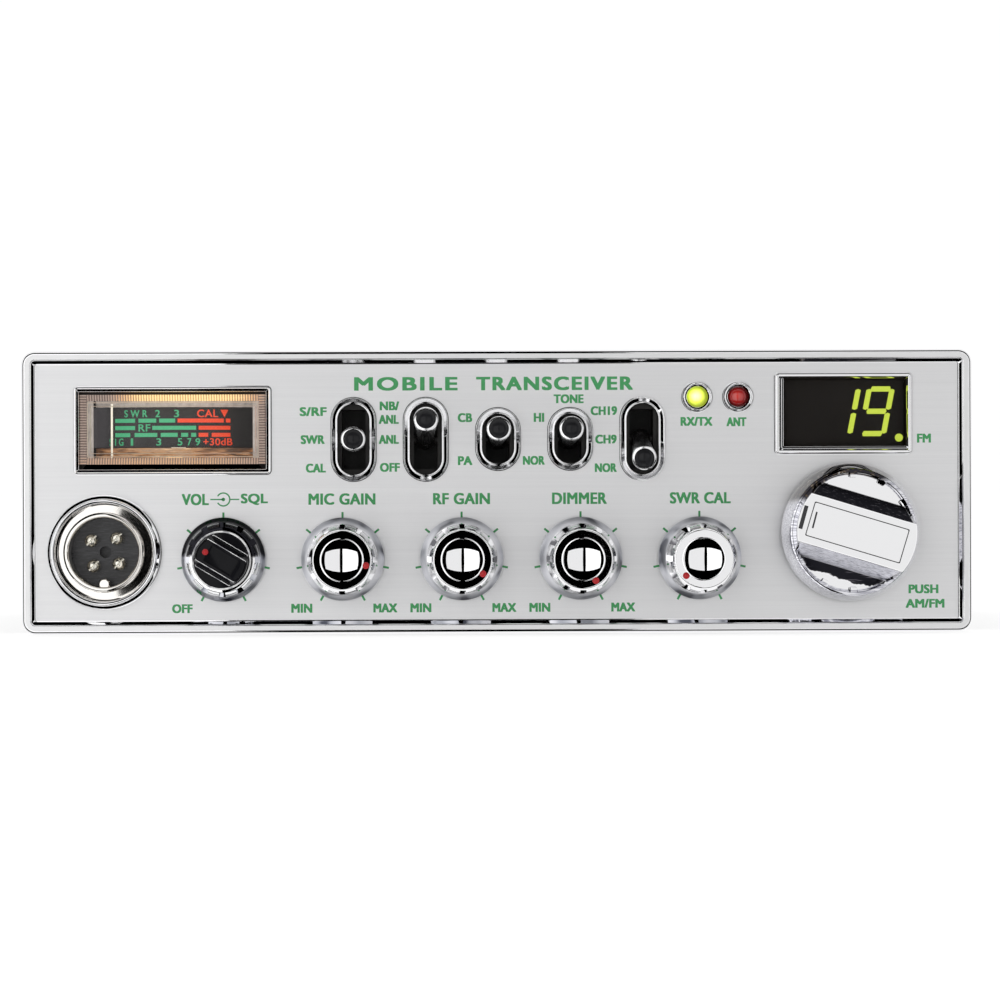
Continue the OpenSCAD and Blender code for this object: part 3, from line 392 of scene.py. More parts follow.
# %% [markdown]
# The frame is one plated moulding with a rim round each window. It could be cut from a block with
# booleans, but a loft of rounded rectangles gives clean edges that catch the light, so the border
# is one closed section taken round the panel, with a back plate that has a hole for each window.
# The plate is a flat curve with holes, which Blender fills and thickens.

# %% The front frame
def cut_plate(outer, holes, y0, y1):
    """A flat plate with holes, between two depths. Outlines are rings of (x, z)."""
    curve = bpy.data.curves.new("plate", "CURVE")
    curve.dimensions, curve.fill_mode, curve.extrude = "2D", "BOTH", (y1 - y0) / 2
    for ring in [outer] + holes:
        spline = curve.splines.new("POLY")
        spline.points.add(len(ring) - 1)
        for point, (x, z) in zip(spline.points, ring):
            point.co = (x, z, 0, 1)
        spline.use_cyclic_u = True
    return moved(curve_solid(curve), lambda x, z, d: (x, (y0 + y1) / 2 - d, z))


def curve_solid(curve):
    """The points and faces that Blender makes from a curve or from text."""
    thing = bpy.data.objects.new("curve", curve)
    bpy.context.scene.collection.objects.link(thing)
    mesh = thing.to_mesh()
    solid = [tuple(v.co) for v in mesh.vertices], [tuple(p.vertices) for p in mesh.polygons]
    thing.to_mesh_clear()
    bpy.data.objects.remove(thing)
    bpy.data.curves.remove(curve)
    return solid


def spot(node):
    return middle(node).x, middle(node).z


meter_at, display_at, mic_at = spot("meter_window"), spot("display_window"), spot("mic_shell")
lamp_at = [spot("receive_led"), spot("antenna_led")]
KNOBS = ["volume_knob", "mic_gain_knob", "rf_gain_knob", "dimmer_knob", "swr_cal_knob"]
knob_at = [(middle(k).x, middle("mic_gain_knob").z) for k in KNOBS]
channel_at = spot("channel_knob")
LEVERS = ["meter_lever", "noise_lever", "pa_lever", "tone_lever", "priority_lever"]
lever_at = [(middle(k).x, lever_z) for k in LEVERS]
slot_tall = [16.7, 16.7, 12.5, 12.5, 16.7]


def ring_at(at, w, h, r):
    return [(at[0] + x, at[1] + z) for x, z in rounded(w, h, r)]


width, height = frame_high.x - frame_low.x, frame_high.z - frame_low.z
holes = [ring_at(meter_at, 38, 16, 0.8), ring_at(display_at, 26, 15, 0.8),
         ring_at(mic_at, 20.5, 20.5, 10.25)]
holes += [ring_at(at, 7.5, tall - 1.4, 3.75) for at, tall in zip(lever_at, slot_tall)]
holes += [ring_at(at, 5, 5, 2.5) for at in lamp_at]
holes += [ring_at(at, 9, 9, 4.5) for at in knob_at] + [ring_at(channel_at, 10, 10, 5)]
centre = (0, mid_z)
BORDER = [(0.0, 11.0), (0.0, -1.4), (0.05, -1.72), (0.14, -1.88), (0.26, -1.99), (0.34, -2.05),
          (0.38, -2.075), (0.56, -2.178), (0.6, -2.192), (0.64, -2.196), (0.76, -2.2), (1.7, -2.2),
          (1.76, -2.19), (1.84, -2.12), (1.9, -1.95), (1.92, -0.57), (1.97, -0.54), (2.03, -0.5),
          (2.46, -0.225), (2.5, -0.2), (2.54, -0.18), (2.57, 0.0), (2.5, 2.8), (2.0, 3.0), (2.0, 11.0)]
BAND = [(0.74, -2.19), (0.78, -2.215), (1.68, -2.215), (1.72, -2.19), (1.72, -2.0), (0.74, -2.0)]


def border_ring(inset, y):
    return width - 2 * inset, height - 2 * inset, max(2.8 - inset, 0.5), face + y


BOSSES = [(-36, 22), (15, 22), (-66, -21.8), (53.5, -21.8)]
boss_solids = [turned((x, mid_z + z), [(2.5, back - 0.1), (2.5, face + 13), (1.1, face + 13),
                                       (1.1, back - 0.1)], closed=True, angles=even(32))
               for x, z in BOSSES]
plate = cut_plate(ring_at(centre, width - 4.6, height - 4.6, 0.6), holes, face + 0.82, back)
piece("front_frame", [rim(centre, [border_ring(*p) for p in BORDER], steps=8), plate] + boss_solids,
      bright_chrome, "radio", "plated_trim", ["front_bezel"])
piece("frame_band", [rim(centre, [border_ring(*p) for p in BAND], steps=8)], satin_chrome, "radio",
      "plated_trim")
print("frame", round(width, 1), "x", round(height, 1), "mm with", len(holes), "holes")

# %% [markdown]
# Each window has a bright rim that stands proud of the panel. What makes a small rim read as metal
# is its section: a rounded crown that catches the soft lights as a thin white line, then a slope of
# about thirty degrees that mirrors the dark studio, then a crisp inner lip.

# %% Window rims
def band(at, w, h, corner, drops):
    """A rim whose section is a list of (inset, depth from the panel), with corners that follow it."""
    return rim(at, [(w - 2 * i, h - 2 * i, max(corner - i, 0.12), face + y) for i, y in drops], steps=8)


METER_SECTION = [(0.0, 2.8), (0.0, -0.75), (0.05, -1.0), (0.14, -1.15), (0.26, -1.2), (0.36, -1.18),
                 (0.42, -1.1), (0.46, -1.07), (0.5, -1.048), (0.9, -0.812), (0.94, -0.78), (0.99, -0.7),
                 (1.05, -0.2), (1.05, 2.8)]


def trim(name, solid, *stands_for):
    """A bright plated piece on the front."""
    piece(name, [solid], bright_chrome, "radio", "plated_trim", stands_for)


trim("meter_rim", band(meter_at, 39.3, 17.5, 0.8, METER_SECTION), "front_bezel")
SILL = [(-8.62, -1.12), (-6.82, -0.08), (-6.82, 0.3), (-8.62, 0.3)]
trim("meter_sill", loft([[(meter_at[0] + side * (18.68 - (z + 8.62) * 0.8), face + y, meter_at[1] + z)
                          for z, y in SILL] for side in (-1, 1)]))
trim("display_rim", band(display_at, 27.4, 16.2, 0.8, [
    (0.0, 2.8), (0.0, -0.8), (0.06, -1.05), (0.2, -1.17), (0.34, -1.2), (0.62, -1.2), (0.72, -1.14),
    (0.8, -1.0), (1.05, -0.5), (1.12, -0.1), (1.1, 0.3), (0.6, 0.5), (0.6, 2.8)]), "front_bezel")
opening_at = display_at[0] + 0.32, display_at[1] + 0.22
trim("display_sill", band(opening_at, 25.5, 14.5, 0.3,
                          [(0.0, 1.2), (0.0, -0.35), (0.06, -0.4), (0.1, -0.4), (0.14, -0.38),
                           (0.4, -0.23), (0.44, -0.2), (0.47, 0.0), (0.5, 1.2)]))
for k, (at, tall) in enumerate(zip(lever_at, slot_tall), 1):
    trim(f"lever_rim_{k}", band(at, 8.9, tall, 4.45, [(0.0, 4.3), (0.0, -0.9), (0.02, -1.08),
                                                      (0.06, -1.16), (0.12, -1.2), (0.2, -1.2),
                                                      (0.23, -1.18), (0.26, -1.17), (0.3, -1.147),
                                                      (0.84, -0.832), (0.88, -0.81), (0.92, -0.86),
                                                      (0.98, -0.915), (1.1, -0.94), (1.2, -0.91),
                                                      (1.28, -0.8), (1.33, -0.6), (1.35, 0.8),
                                                      (1.35, 4.3)]), "front_bezel")
for k, at in enumerate(lamp_at, 1):
    trim(f"lamp_rim_{k}", band(at, 6, 6, 3, [(0.0, 2.8), (0.0, -0.85), (0.02, -0.885), (0.05, -0.904),
                                             (0.22, -1.002), (0.25, -1.03), (0.3, -1.1), (0.38, -1.18),
                                             (0.46, -1.2), (0.52, -1.2), (0.55, -1.185), (0.58, -1.168),
                                             (0.82, -1.029), (0.86, -1.0), (0.9, -0.8), (0.9, 2.8)]),
         "front_bezel")
mic_well = [(11.3, 2.8), (11.3, -1.7), (11.27, -1.88), (11.2, -1.98), (11.15, -2.0), (11.1, -2.025),
            (10.74, -2.233), (10.68, -2.27), (10.6, -2.4), (10.48, -2.53), (10.35, -2.58), (10.24, -2.57),
            (10.16, -2.53), (10.1, -2.5), (9.84, -2.35), (9.79, -2.28), (9.72, -1.2), (9.72, 2.8)]
trim("mic_rim", turned(mic_at, [(r, face + y) for r, y in mic_well], closed=True, angles=even(144)),
     "front_bezel")
print(len(made), "front pieces so far")

# %% [markdown]
# The panel is brushed aluminium under a thin lacquer. Brushing is a very stretched noise: long
# along the strokes, a tenth of a millimetre across them. It changes colour, roughness and height
# together, because a scratch does all three.

# %% Brushed panel
brushed = Finish("brushed aluminium", metallic=1.0)
strokes = brushed.noise((0.03, 1, 7), detail=4, rough=0.65)
long_strokes = brushed.noise((0.008, 1, 1.6), detail=2)
brushed.set(base_color=brushed.mix(strokes * 0.6 + long_strokes * 0.4, (0.78, 0.78, 0.79),
                                   (0.92, 0.92, 0.925)), roughness=0.34 + strokes * 0.1)
brushed.relief(strokes, 0.25, 0.006)
coat(brushed, "faceplate")
print("brushed panel", [round(v, 1) for v in panel_high - panel_low])

# %% [markdown]
# The legends are silk-screened green. Blender's own font gives the letters; copies laid a tenth of
# a millimetre to each side make them bold, and each word is scaled to the width and height that it
# has on the panel, which also makes it condensed. The ink is a real layer, a few hundredths of a
# millimetre thick.

# %% Panel print
def lettering(words, left, right, at, tall, bold=0.125, spacing=1.06):
    """A word as thin solids: x from left to right, z round at, and lift from 0 to 1."""
    text = bpy.data.curves.new("words", "FONT")
    text.body, text.extrude, text.resolution_u = words, 0.5, 4
    text.space_character = spacing
    points, faces = curve_solid(text)
    x0, x1 = min(p[0] for p in points), max(p[0] for p in points)
    z0, z1 = min(p[1] for p in points), max(p[1] for p in points)
    wide, high = right - left - 2 * bold, tall - bold
    all_points, all_faces = [], []
    for lift_by, (dx, dz) in enumerate(((0, 0), (-1, -0.5), (1, 0.5), (-1, 0.5), (1, -0.5))):
        start = len(all_points)
        all_points += [(left + bold * (1 + dx) + (x - x0) / (x1 - x0) * wide,
                        (lift + 0.5) * (1 - 0.07 * lift_by), at + dz * bold
                        + ((z - z0) / (z1 - z0) - 0.5) * high) for x, z, lift in points]
        all_faces += [tuple(k + start for k in face) for face in faces]
    return all_points, all_faces


def stroke(x0, z0, x1, z1, wide):
    """A straight line of ink as a thin solid, with lift from 0 to 1."""
    long = hypot(x1 - x0, z1 - z0)
    u, v = (x1 - x0) / long, (z1 - z0) / long
    a, b = v * wide / 2, -u * wide / 2
    flat = [(x0 + a, z0 + b), (x1 + a, z1 + b), (x1 - a, z1 - b), (x0 - a, z0 - b)]
    return loft([[(x, lift, z) for x, z in flat] for lift in (0, 1)])


def arc(x, z, r, start, end, wide, steps=20):
    """A curved line of ink, between two angles in degrees."""
    rings = []
    for i in range(steps + 1):
        a = radians(start + (end - start) * i / steps)
        rings.append([(x + q * cos(a), lift, z + q * sin(a)) for q, lift in
                      ((r - wide / 2, 0), (r + wide / 2, 0), (r + wide / 2, 1), (r - wide / 2, 1))])
    return loft(rings)


SMALL, LARGE = 1.8, 2.3
LEGENDS = [
    (SMALL, [("S/RF", -39.5, -34.1, 16.1), ("SWR", -39.3, -34.5, 10.5), ("CAL", -38.3, -34.3, 4.8),
             ("NB/", -23.5, -19.6, 17.2), ("ANL", -23.7, -19.7, 14.5), ("ANL", -23.7, -19.7, 10.5),
             ("OFF", -23.5, -19.5, 4.9), ("CB", -7.9, -5.0, 14.8), ("PA", -7.9, -5.0, 6.2),
             ("HI", 7.3, 9.4, 14.8), ("NOR", 5.1, 9.5, 6.2), ("TONE", 11.3, 17.3, 18.5),
             ("CH19", 18.7, 24.0, 16.1), ("CH9", 19.6, 23.9, 10.4), ("NOR", 19.5, 23.9, 4.7),
             ("RX/TX", 36.7, 43.1, 13.9), ("ANT", 45.9, 49.9, 13.8), ("FM", 84.1, 86.9, 10.4),
             ("PUSH", 82.3, 88.3, -19.8), ("AM/FM", 81.7, 89.5, -22.7), ("OFF", -65.1, -61.0, -23.2),
             ("MIN", -41.3, -37.1, -23.2), ("MAX", -24.9, -20.1, -23.2), ("MIN", -17.5, -13.3, -23.2),
             ("MAX", -1.1, 3.7, -23.2), ("MIN", 6.3, 10.5, -23.2), ("MAX", 22.7, 27.5, -23.2)]),
    (LARGE, [("VOL", -63.1, -57.7, -1.4), ("SQL", -51.3, -45.9, -1.4), ("MIC GAIN", -37.8, -24.4, -1.4),
             ("RF GAIN", -12.9, -1.5, -1.4), ("DIMMER", 10.9, 21.9, -1.4), ("SWR CAL", 34.5, 46.7, -1.4)]),
]
print_solids = [lettering(words, left, right, z, tall)
                for tall, rows in LEGENDS for words, left, right, z in rows]
print_solids += [lettering("MOBILE", -28.6, -7.9, 21.6, 2.75, bold=0.19, spacing=1.2),
                 lettering("TRANSCEIVER", -4.2, 27.2, 21.6, 2.75, bold=0.19, spacing=1.2)]
TICKS = (0, 50.6, -50.6, 101, -101, 152, -152)
TICK_START, TICK_END, TICK_WIDE = 7.9, 9.4, 0.42
for x, z in knob_at:
    for clock in TICKS:
        s, c = sin(radians(clock)), cos(radians(clock))
        print_solids.append(stroke(x + TICK_START * s, z - mid_z + TICK_START * c,
                                   x + TICK_END * s, z - mid_z + TICK_END * c, TICK_WIDE))
SIGN_X, NAMES_Z = -54.8, -1.4      # the sign between VOL and SQL, and the height of the controls' names
print_solids += [arc(SIGN_X, NAMES_Z, 1.3, -150, 150, 0.28), arc(SIGN_X, NAMES_Z, 0.18, 0, 359, 0.36),
                 stroke(SIGN_X + 1.3, NAMES_Z, SIGN_X + 3.2, NAMES_Z, 0.25),
                 stroke(SIGN_X - 2.6, NAMES_Z, SIGN_X, NAMES_Z, 0.25)]
INK = 0.03
green_ink = Finish("green ink", roughness=0.45, specular_ior_level=0.35)
speck = green_ink.noise((2.5, 2.5, 2.5), detail=3)
green_ink.set(base_color=green_ink.mix(speck, (0.040, 0.27, 0.085), (0.065, 0.34, 0.12)))
green_ink.relief(speck, 0.3, 0.01)
piece("panel_print", [moved(s, lambda x, lift, z: (x, face - INK * lift, mid_z + z)) for s in print_solids],
      green_ink, "radio", "brushed_panel")
print(len(print_solids), "printed marks")

# %% [markdown]
# The microphone socket is a threaded brass barrel, nickel plated, in a deep bright well, with four
# slotted pins in a phenolic disc. The thread is a radius that follows a saw-tooth as it goes round
# and back, so one turned shape is enough. Each pin is two halves with a gap, which is the slot.

# %% Microphone socket
def thread(root, crest, pitch, start, end):
    """A radius that winds a thread between two depths."""
    def shape(r, y, a):
        if not (start < y < end) or r < root:
            return r
        wave = abs(2 * ((y / pitch - a / tau) % 1) - 1)
        return root + (crest - root) * min(1, 1.35 * wave)
    return shape


def steps(low, high, size):
    count = max(1, round((high - low) / size))
    return [low + (high - low) * i / count for i in range(count + 1)]


barrel_low, barrel_high = span("mic_shell")
barrel_r, front_y = 8.0, barrel_low.y
outer = [(7.55, front_y), (7.75, front_y + 0.1)]
outer += [(barrel_r, y) for y in steps(front_y + 0.25, face + 1.4, 0.12)]
outer += [(9.5, face + 1.5), (9.5, back), (barrel_r, back), (barrel_r, barrel_high.y), (6.9, barrel_high.y),
          (6.9, front_y + 0.5), (7.05, front_y + 0.2), (7.3, front_y)]
key = turned((mic_at[0], mic_at[1] - 6.35), [(0, front_y + 2.2), (0.9, front_y + 2.2),
                                             (1.15, front_y + 2.5), (1.15, face + 5), (0, face + 5)],
             angles=even(32))
piece("mic_barrel", [turned(mic_at, outer, closed=True,
                            shape=thread(7.7, 8.0, 0.8, front_y + 0.2, face + 1.45)), key], nickel,
      "radio", "nickel", ["mic_shell"])


def half_disc(r, gap, turn, count=10):
    """Half of a slotted disc, as (x, z)."""
    start = asin(gap / 2 / r)
    arc_points = [(start + (pi - 2 * start) * i / count) for i in range(count + 1)]
    return [(r * cos(a + turn), r * sin(a + turn)) for a in arc_points]


pin_solids = []
PIN_R, PIN_CIRCLE, SLOT = 1.34, 3.6, 0.32
pin_low, pin_high = span("mic_pins")
for k in range(4):
    a = radians(50 + 90 * k)
    at = (mic_at[0] + PIN_CIRCLE * cos(a), mic_at[1] + PIN_CIRCLE * sin(a))
    dome = [(PIN_R * sin(t), pin_low.y + PIN_R * (1 - cos(t))) for t in (0.35, 0.6, 0.9, 1.25, pi / 2)]
    rows = dome + [(PIN_R, pin_low.y + 3.1)]
    for turn in (pi / 4, pi / 4 + pi):
        pin_solids.append(loft([level(half_disc(r, SLOT, turn), at, y) for r, y in rows]))
    pin_solids.append(turned(at, [(0, pin_low.y + 2.9), (PIN_R, pin_low.y + 2.9), (PIN_R, pin_high.y),
                                  (0, pin_high.y)], angles=even(24)))
pin_metal = plated("silver-plated pins", (0.86, 0.83, 0.74), 0.12, 0.3)
piece("mic_contacts", pin_solids, pin_metal, "radio", "gold_pins", ["mic_pins"])
phenolic = Finish("moulded phenolic", ior=1.55)
swirl = phenolic.noise((0.35, 0.6, 2.6), detail=5, rough=0.7, turn=(0, 0.7, 0))
phenolic.set(base_color=phenolic.ramp(swirl, (0.35, (0.012, 0.012, 0.014)), (0.55, (0.03, 0.03, 0.034)),
                                      (0.62, (0.055, 0.055, 0.06)), (0.7, (0.03, 0.03, 0.034))),
             roughness=0.16 + swirl * 0.3)
phenolic.relief(swirl, 0.4, 0.03)
coat(phenolic, "mic_insulator")
print("barrel front at", round(front_y, 1), "mm; pins", len(pin_solids))

# %% [markdown]
# The meter is lit from inside. A clear moulding fills its window, with fine ribs on a sloping
# border that spread the lamps' amber light; behind it the scale is printed on a plate bent round
# the needle's axis. The ribs are a saw-tooth in depth along the border, so they glint one by one.

# %% Meter window
def ribbed_ring(at, w, h, y, pitch, lift):
    """A rectangle's outline cut into ribs: pairs of high and low points along each side."""
    points = []
    nx, nz = round(w / pitch), round(h / pitch)
    for (x0, z0, x1, z1, n) in ((-1, -1, 1, -1, nx), (1, -1, 1, 1, nz), (1, 1, -1, 1, nx),
                                (-1, 1, -1, -1, nz)):
        for i in range(n):
            for t, drop in ((0.0, 0), (0.5, 1)):
                u = (i + t) / n
                points.append((at[0] + (x0 + (x1 - x0) * u) * w / 2, y - drop * lift,
                               at[1] + (z0 + (z1 - z0) * u) * h / 2))
    return points


LENS_W, LENS_H, LENS_UP, RIB = 36.9, 13.9, 0.23, 0.52


def lens_ring(inset, y, lift):
    """One level of the border, with as many ribs as its outside has."""
    outer_ring = ribbed_ring((0, 0), LENS_W, LENS_H, 0, RIB, 1)
    kx, kz = (LENS_W - 2 * inset) / LENS_W, (LENS_H - 2 * inset) / LENS_H
    return [(meter_at[0] + x * kx, y + drop * lift, meter_at[1] + LENS_UP + z * kz)
            for x, drop, z in outer_ring]


border = loft([lens_ring(0.0, face + 0.15, 0.0), lens_ring(0.12, face + 0.25, 0.3),
               lens_ring(1.2, face + 1.2, 0.3), lens_ring(1.28, face + 1.55, 0.0),
               lens_ring(1.28, face + 1.95, 0.0), lens_ring(0.0, face + 1.95, 0.0)], closed=True)
amber = Finish("lit amber lens", roughness=0.22, ior=1.45, specular_ior_level=0.3, emission_strength=1.0)
along, up = amber.axis("X") - meter_at[0], amber.axis("Z") - meter_at[1]
high = up.above(5.4, 1.6)
low = (0 - up).above(5.4, 1.6)
centre_top = 1 - (abs(along - 3.0) / 15.0) ** 1.6
centre_low = 1 - (abs(along + 1.0) / 20.0) ** 1.5
grain = amber.noise((2.4, 2.4, 2.4), detail=2)
rib_x = amber.add("ShaderNodeMath", {"operation": "PINGPONG"}, {0: along, 1: RIB / 2}) / (RIB / 2)
rib_z = amber.add("ShaderNodeMath", {"operation": "PINGPONG"}, {0: up, 1: RIB / 2}) / (RIB / 2)
side = abs(along).above(17.2, 0.3)
rib = rib_x * (1 - side) + rib_z * side
glow = high * centre_top.above(0.35, 1.1) * 0.9 + low * centre_low.above(0.3, 1.2) * 0.2 + 0.12
amber.set(base_color=amber.mix(rib, (0.05, 0.035, 0.03), (0.34, 0.28, 0.25)),
          emission_color=amber.ramp(glow * (0.1 + grain * 0.4 + rib * 1.3), (0.0, (0.02, 0.014, 0.012)),
                                    (0.16, (0.19, 0.145, 0.125)), (0.45, (0.50, 0.26, 0.10)),
                                    (1.0, (0.98, 0.68, 0.27))))
piece("meter_border", [border], amber, "radio", "clear_lens", ["meter_window"], sharp=20)


def frame_bead(at, w, h, wide, y, tall):
    """A fine raised bead round a rectangle."""
    return rim(at, [(w, h, 0.15, y + tall), (w, h, 0.15, y + tall * 0.4),
                    (w - wide * 0.5, h - wide * 0.5, 0.1, y),
                    (w - 2 * wide * 0.75, h - 2 * wide * 0.75, 0.08, y + tall * 0.4),
                    (w - 2 * wide, h - 2 * wide, 0.05, y + tall)], steps=2)


clear = Finish("clear acrylic", base_color=(0.30, 0.29, 0.28), ior=1.49, alpha=0.03,
               specular_ior_level=0.15)
scuff = clear.noise((0.4, 0.4, 0.4), detail=3)
clear.set(roughness=0.03 + scuff * 0.06)
clear.relief(scuff, 0.2, 0.004)
pane = loft([level(rounded(w, h, 0.4, 3), meter_at, y)
             for w, h, y in ((34.2, 11.7, face + 1.3), (34.5, 12.0, face + 1.4), (34.5, 12.0, face + 2.1),
                             (34.2, 11.7, face + 2.2))])
piece("meter_pane", [pane], clear, "radio", "clear_lens", ["meter_window"])
# The beads' pale colour and glow are a painted highlight along the lens's inner edges.
lens_edge_highlight = Finish("lens edge", base_color=(0.80, 0.72, 0.64), metallic=0.65, emission_strength=1.0)
edge_grain = lens_edge_highlight.noise((0.5, 0.5, 2), detail=2)
lens_edge_highlight.set(roughness=0.12 + edge_grain * 0.2,
                emission_color=lens_edge_highlight.mix(edge_grain, (0.10, 0.07, 0.05), (0.24, 0.18, 0.13)))
piece("meter_beads", [frame_bead((meter_at[0], meter_at[1] + 0.2), 34.2, 11.0, 0.16, face + 1.1, 0.2),
                      frame_bead((meter_at[0], meter_at[1] + 0.2), 33.2, 9.6, 0.13, face + 2.3, 0.2)],
      lens_edge_highlight, "radio", "clear_lens")
# The side walls and the upper strip glow: painted lamp light from the meter's lamps falling on them.
lamp_lit_grey = Finish("meter side wall", roughness=0.4, emission_strength=1.0)
wall_shade = lamp_lit_grey.noise((0.9, 0.9, 0.5), detail=3)
lamp_lit_grey.set(base_color=lamp_lit_grey.mix(wall_shade, (0.30, 0.28, 0.26), (0.42, 0.39, 0.36)),
              emission_color=lamp_lit_grey.ramp(wall_shade, (0.3, (0.10, 0.085, 0.075)),
                                            (0.6, (0.24, 0.21, 0.19))))
piece("meter_side_walls", [loft([level([(x - 0.6, -6.4), (x + 0.6, -6.4), (x + 0.6, 6.2), (x - 0.6, 6.2)],
                                       meter_at, y) for y in (face + 3.0, face + 3.4)])
                           for x in (-16.55, 16.55)], lamp_lit_grey, "radio", "clear_lens")
print("border ribs:", round(LENS_W / RIB) * 2 + round(LENS_H / RIB) * 2)

# %% [markdown]
# The scale's bars and words are thin solids too, laid on the bent plate: a point's depth comes from
# the circle round the needle's axis. Under the scale a strip of the moulding carries lamp light
# past the movement, which shows as amber and brown bands.

# %% Meter scale and needle
axis_x = meter_at[0]
DIAL_R = 23.1
needle_axis_y = span("meter_dial")[0].y + DIAL_R


def on_dial(x, lift, z):
    return (axis_x + x, needle_axis_y - sqrt((DIAL_R + 0.1 + 0.03 * lift) ** 2 - x * x), meter_at[1] + z)


def dial_bar(left, right, z, tall=0.8):
    return loft([[on_dial(x, lift, z + side * tall / 2)
                  for lift, side in ((0, -1), (1, -1), (1, 1), (0, 1))]
                 for x in steps(left, right, 0.7)])


def dial_word(words, left, right, z, tall=1.45):
    return moved(lettering(words, left, right, z, tall, bold=0.035), on_dial)


TOP, BARS, FOOT = 3.5, (2.08, 0.62, -0.8), -2.2
green_dial = [dial_bar(a, b, BARS[row]) for row, a, b in (
    (0, -11.9, -7.8), (0, -7.1, -3.5), (0, -2.9, 0.3), (1, -11.9, -7.8), (1, -4.3, 4.5),
    (2, -11.9, -8.8), (2, -7.9, -3.3), (2, -2.6, 0.8), (2, 1.5, 2.9), (2, 3.5, 4.5))]
red_dial = [dial_bar(a, b, BARS[row]) for row, a, b in (
    (0, 0.8, 10.0), (0, 10.4, 11.3), (1, 5.0, 11.3), (2, 5.0, 6.9), (2, 7.6, 11.3))]
green_dial += [dial_word(w, a, b, z) for w, a, b, z in (
    ("S W R", -10.0, -5.3, TOP), ("2", -3.7, -2.7, TOP), ("3", 0.1, 1.1, TOP), ("RF", -7.1, -4.7, BARS[1]),
    ("S I G", -13.1, -10.2, FOOT), ("1", -8.7, -8.2, FOOT), ("3", -3.5, -2.5, FOOT), ("5", 0.8, 1.75, FOOT),
    ("7", 2.75, 3.55, FOOT), ("9", 4.35, 5.3, FOOT))]
red_dial += [dial_word("CAL", 4.7, 8.9, TOP, 1.55), dial_word("+30dB", 5.9, 11.7, FOOT)]
red_dial.append(loft([[on_dial(x, lift, TOP + z) for x, z in ((9.35, 0.75), (10.9, 0.75), (10.125, -0.8))]
                      for lift in (0, 1)]))


def lit_ink(name, colour, light):
    finish = Finish(name, roughness=0.5, emission_strength=light)
    mottle = finish.noise((1.2, 1.2, 1.2), detail=3)
    finish.set(base_color=finish.mix(mottle, colour, tuple(c * 0.8 for c in colour)),
               emission_color=finish.mix(mottle, colour, tuple(c * 0.82 for c in colour)))
    return finish


piece("dial_green_print", green_dial, lit_ink("dial green", (0.055, 0.36, 0.17), 0.62), "radio",
      "dial_print")
piece("dial_red_print", red_dial, lit_ink("dial red", (0.66, 0.055, 0.018), 0.75), "radio", "dial_print")
dial_grey = Finish("dial grey", roughness=0.55, emission_strength=1.0)
shade = dial_grey.noise((0.3, 0.3, 0.3), detail=3)
sheen = (dial_grey.axis("X") - (axis_x - 13.5)) / 9.0
dial_grey.set(base_color=dial_grey.mix(shade, (0.012, 0.012, 0.012), (0.020, 0.019, 0.019)),
              emission_color=dial_grey.ramp(sheen + shade * 0.15, (0.0, (0.045, 0.042, 0.045)),
                                            (0.2, (0.016, 0.015, 0.016)), (0.75, (0.022, 0.020, 0.021)),
                                            (1.0, (0.010, 0.009, 0.009))))
dial_grey.relief(dial_grey.noise((4, 4, 4)), 0.3, 0.02)
coat(dial_grey, "meter_dial")

strip = Finish("lamp strip", roughness=0.3, emission_strength=1.0)
bands = strip.noise((0.16, 0.3, 1.5), detail=3, rough=0.65)
fade = 1 - abs(strip.axis("X") - axis_x) / 20.0
strip.set(base_color=(0.25, 0.17, 0.12),
          emission_color=strip.ramp(bands + fade * 0.2 - 0.12, (0.36, (0.02, 0.008, 0.004)),
                                    (0.46, (0.20, 0.075, 0.022)), (0.54, (0.42, 0.22, 0.10)),
                                    (0.60, (0.26, 0.17, 0.12)), (0.70, (0.85, 0.55, 0.28))))
strip.relief(bands, 0.4, 0.05)


def trough(z0, z1, half, lean):
    """A strip that follows the scale's bend, leaning forwards at its foot."""
    rings = []
    for x in steps(-half, half, 0.8):
        y = needle_axis_y - sqrt((DIAL_R + 0.05) ** 2 - (x * 0.98) ** 2)
        rings.append([(axis_x + x, y + 0.4, meter_at[1] + z1), (axis_x + x, y - 0.05, meter_at[1] + z1),
                      (axis_x + x, y - lean, meter_at[1] + z0), (axis_x + x, y + 0.4, meter_at[1] + z0)])
    return loft(rings)


piece("lamp_strip_low", [trough(-6.3, -3.42, 15.9, 1.4)], strip, "radio", "clear_lens")
piece("lamp_strip_high", [trough(6.4, 4.78, 15.9, 1.0)], lamp_lit_grey, "radio", "clear_lens")
# The needle's cream is its paint; its glow is painted lamp light from the meter's lamps.
needle_glow_paint = Finish("needle paint", roughness=0.35, emission_strength=0.6)
needle_grain = needle_glow_paint.noise((1.5, 1.5, 1.5))
needle_glow_paint.set(base_color=needle_glow_paint.mix(needle_grain, (0.92, 0.86, 0.72), (0.98, 0.95, 0.86)),
          emission_color=needle_glow_paint.mix(needle_grain, (0.9, 0.8, 0.62), (1.0, 0.95, 0.8)))
needle_low, needle_high = span("meter_needle")
HUB_R, NEEDLE_TURN = 3.1, radians(-31.4)
needle_y = needle_high.y - HUB_R
needle_reach = (needle_y - needle_low.y - 0.25 * sin(-NEEDLE_TURN)) / cos(NEEDLE_TURN)
needle_stand = (Matrix.Translation(Vector((axis_x, needle_y, meter_at[1])))
                @ Matrix.Rotation(NEEDLE_TURN, 4, "Z"))


def post(r, z0, z1, hole=0.56, count=40):
    """A ring that stands upright, as the needle's hub does."""
    return loft([[(q * cos(a), q * sin(a), z) for a in even(count)] for q, z in
                 ((r, z0), (r, z1), (hole, z1), (hole, z0))], closed=True)


def bar_between(x, y0, y1, z0, z1):
    return loft([[(-x, y, z0), (x, y, z0), (x, y, z1), (-x, y, z1)] for y in (y0, y1)])


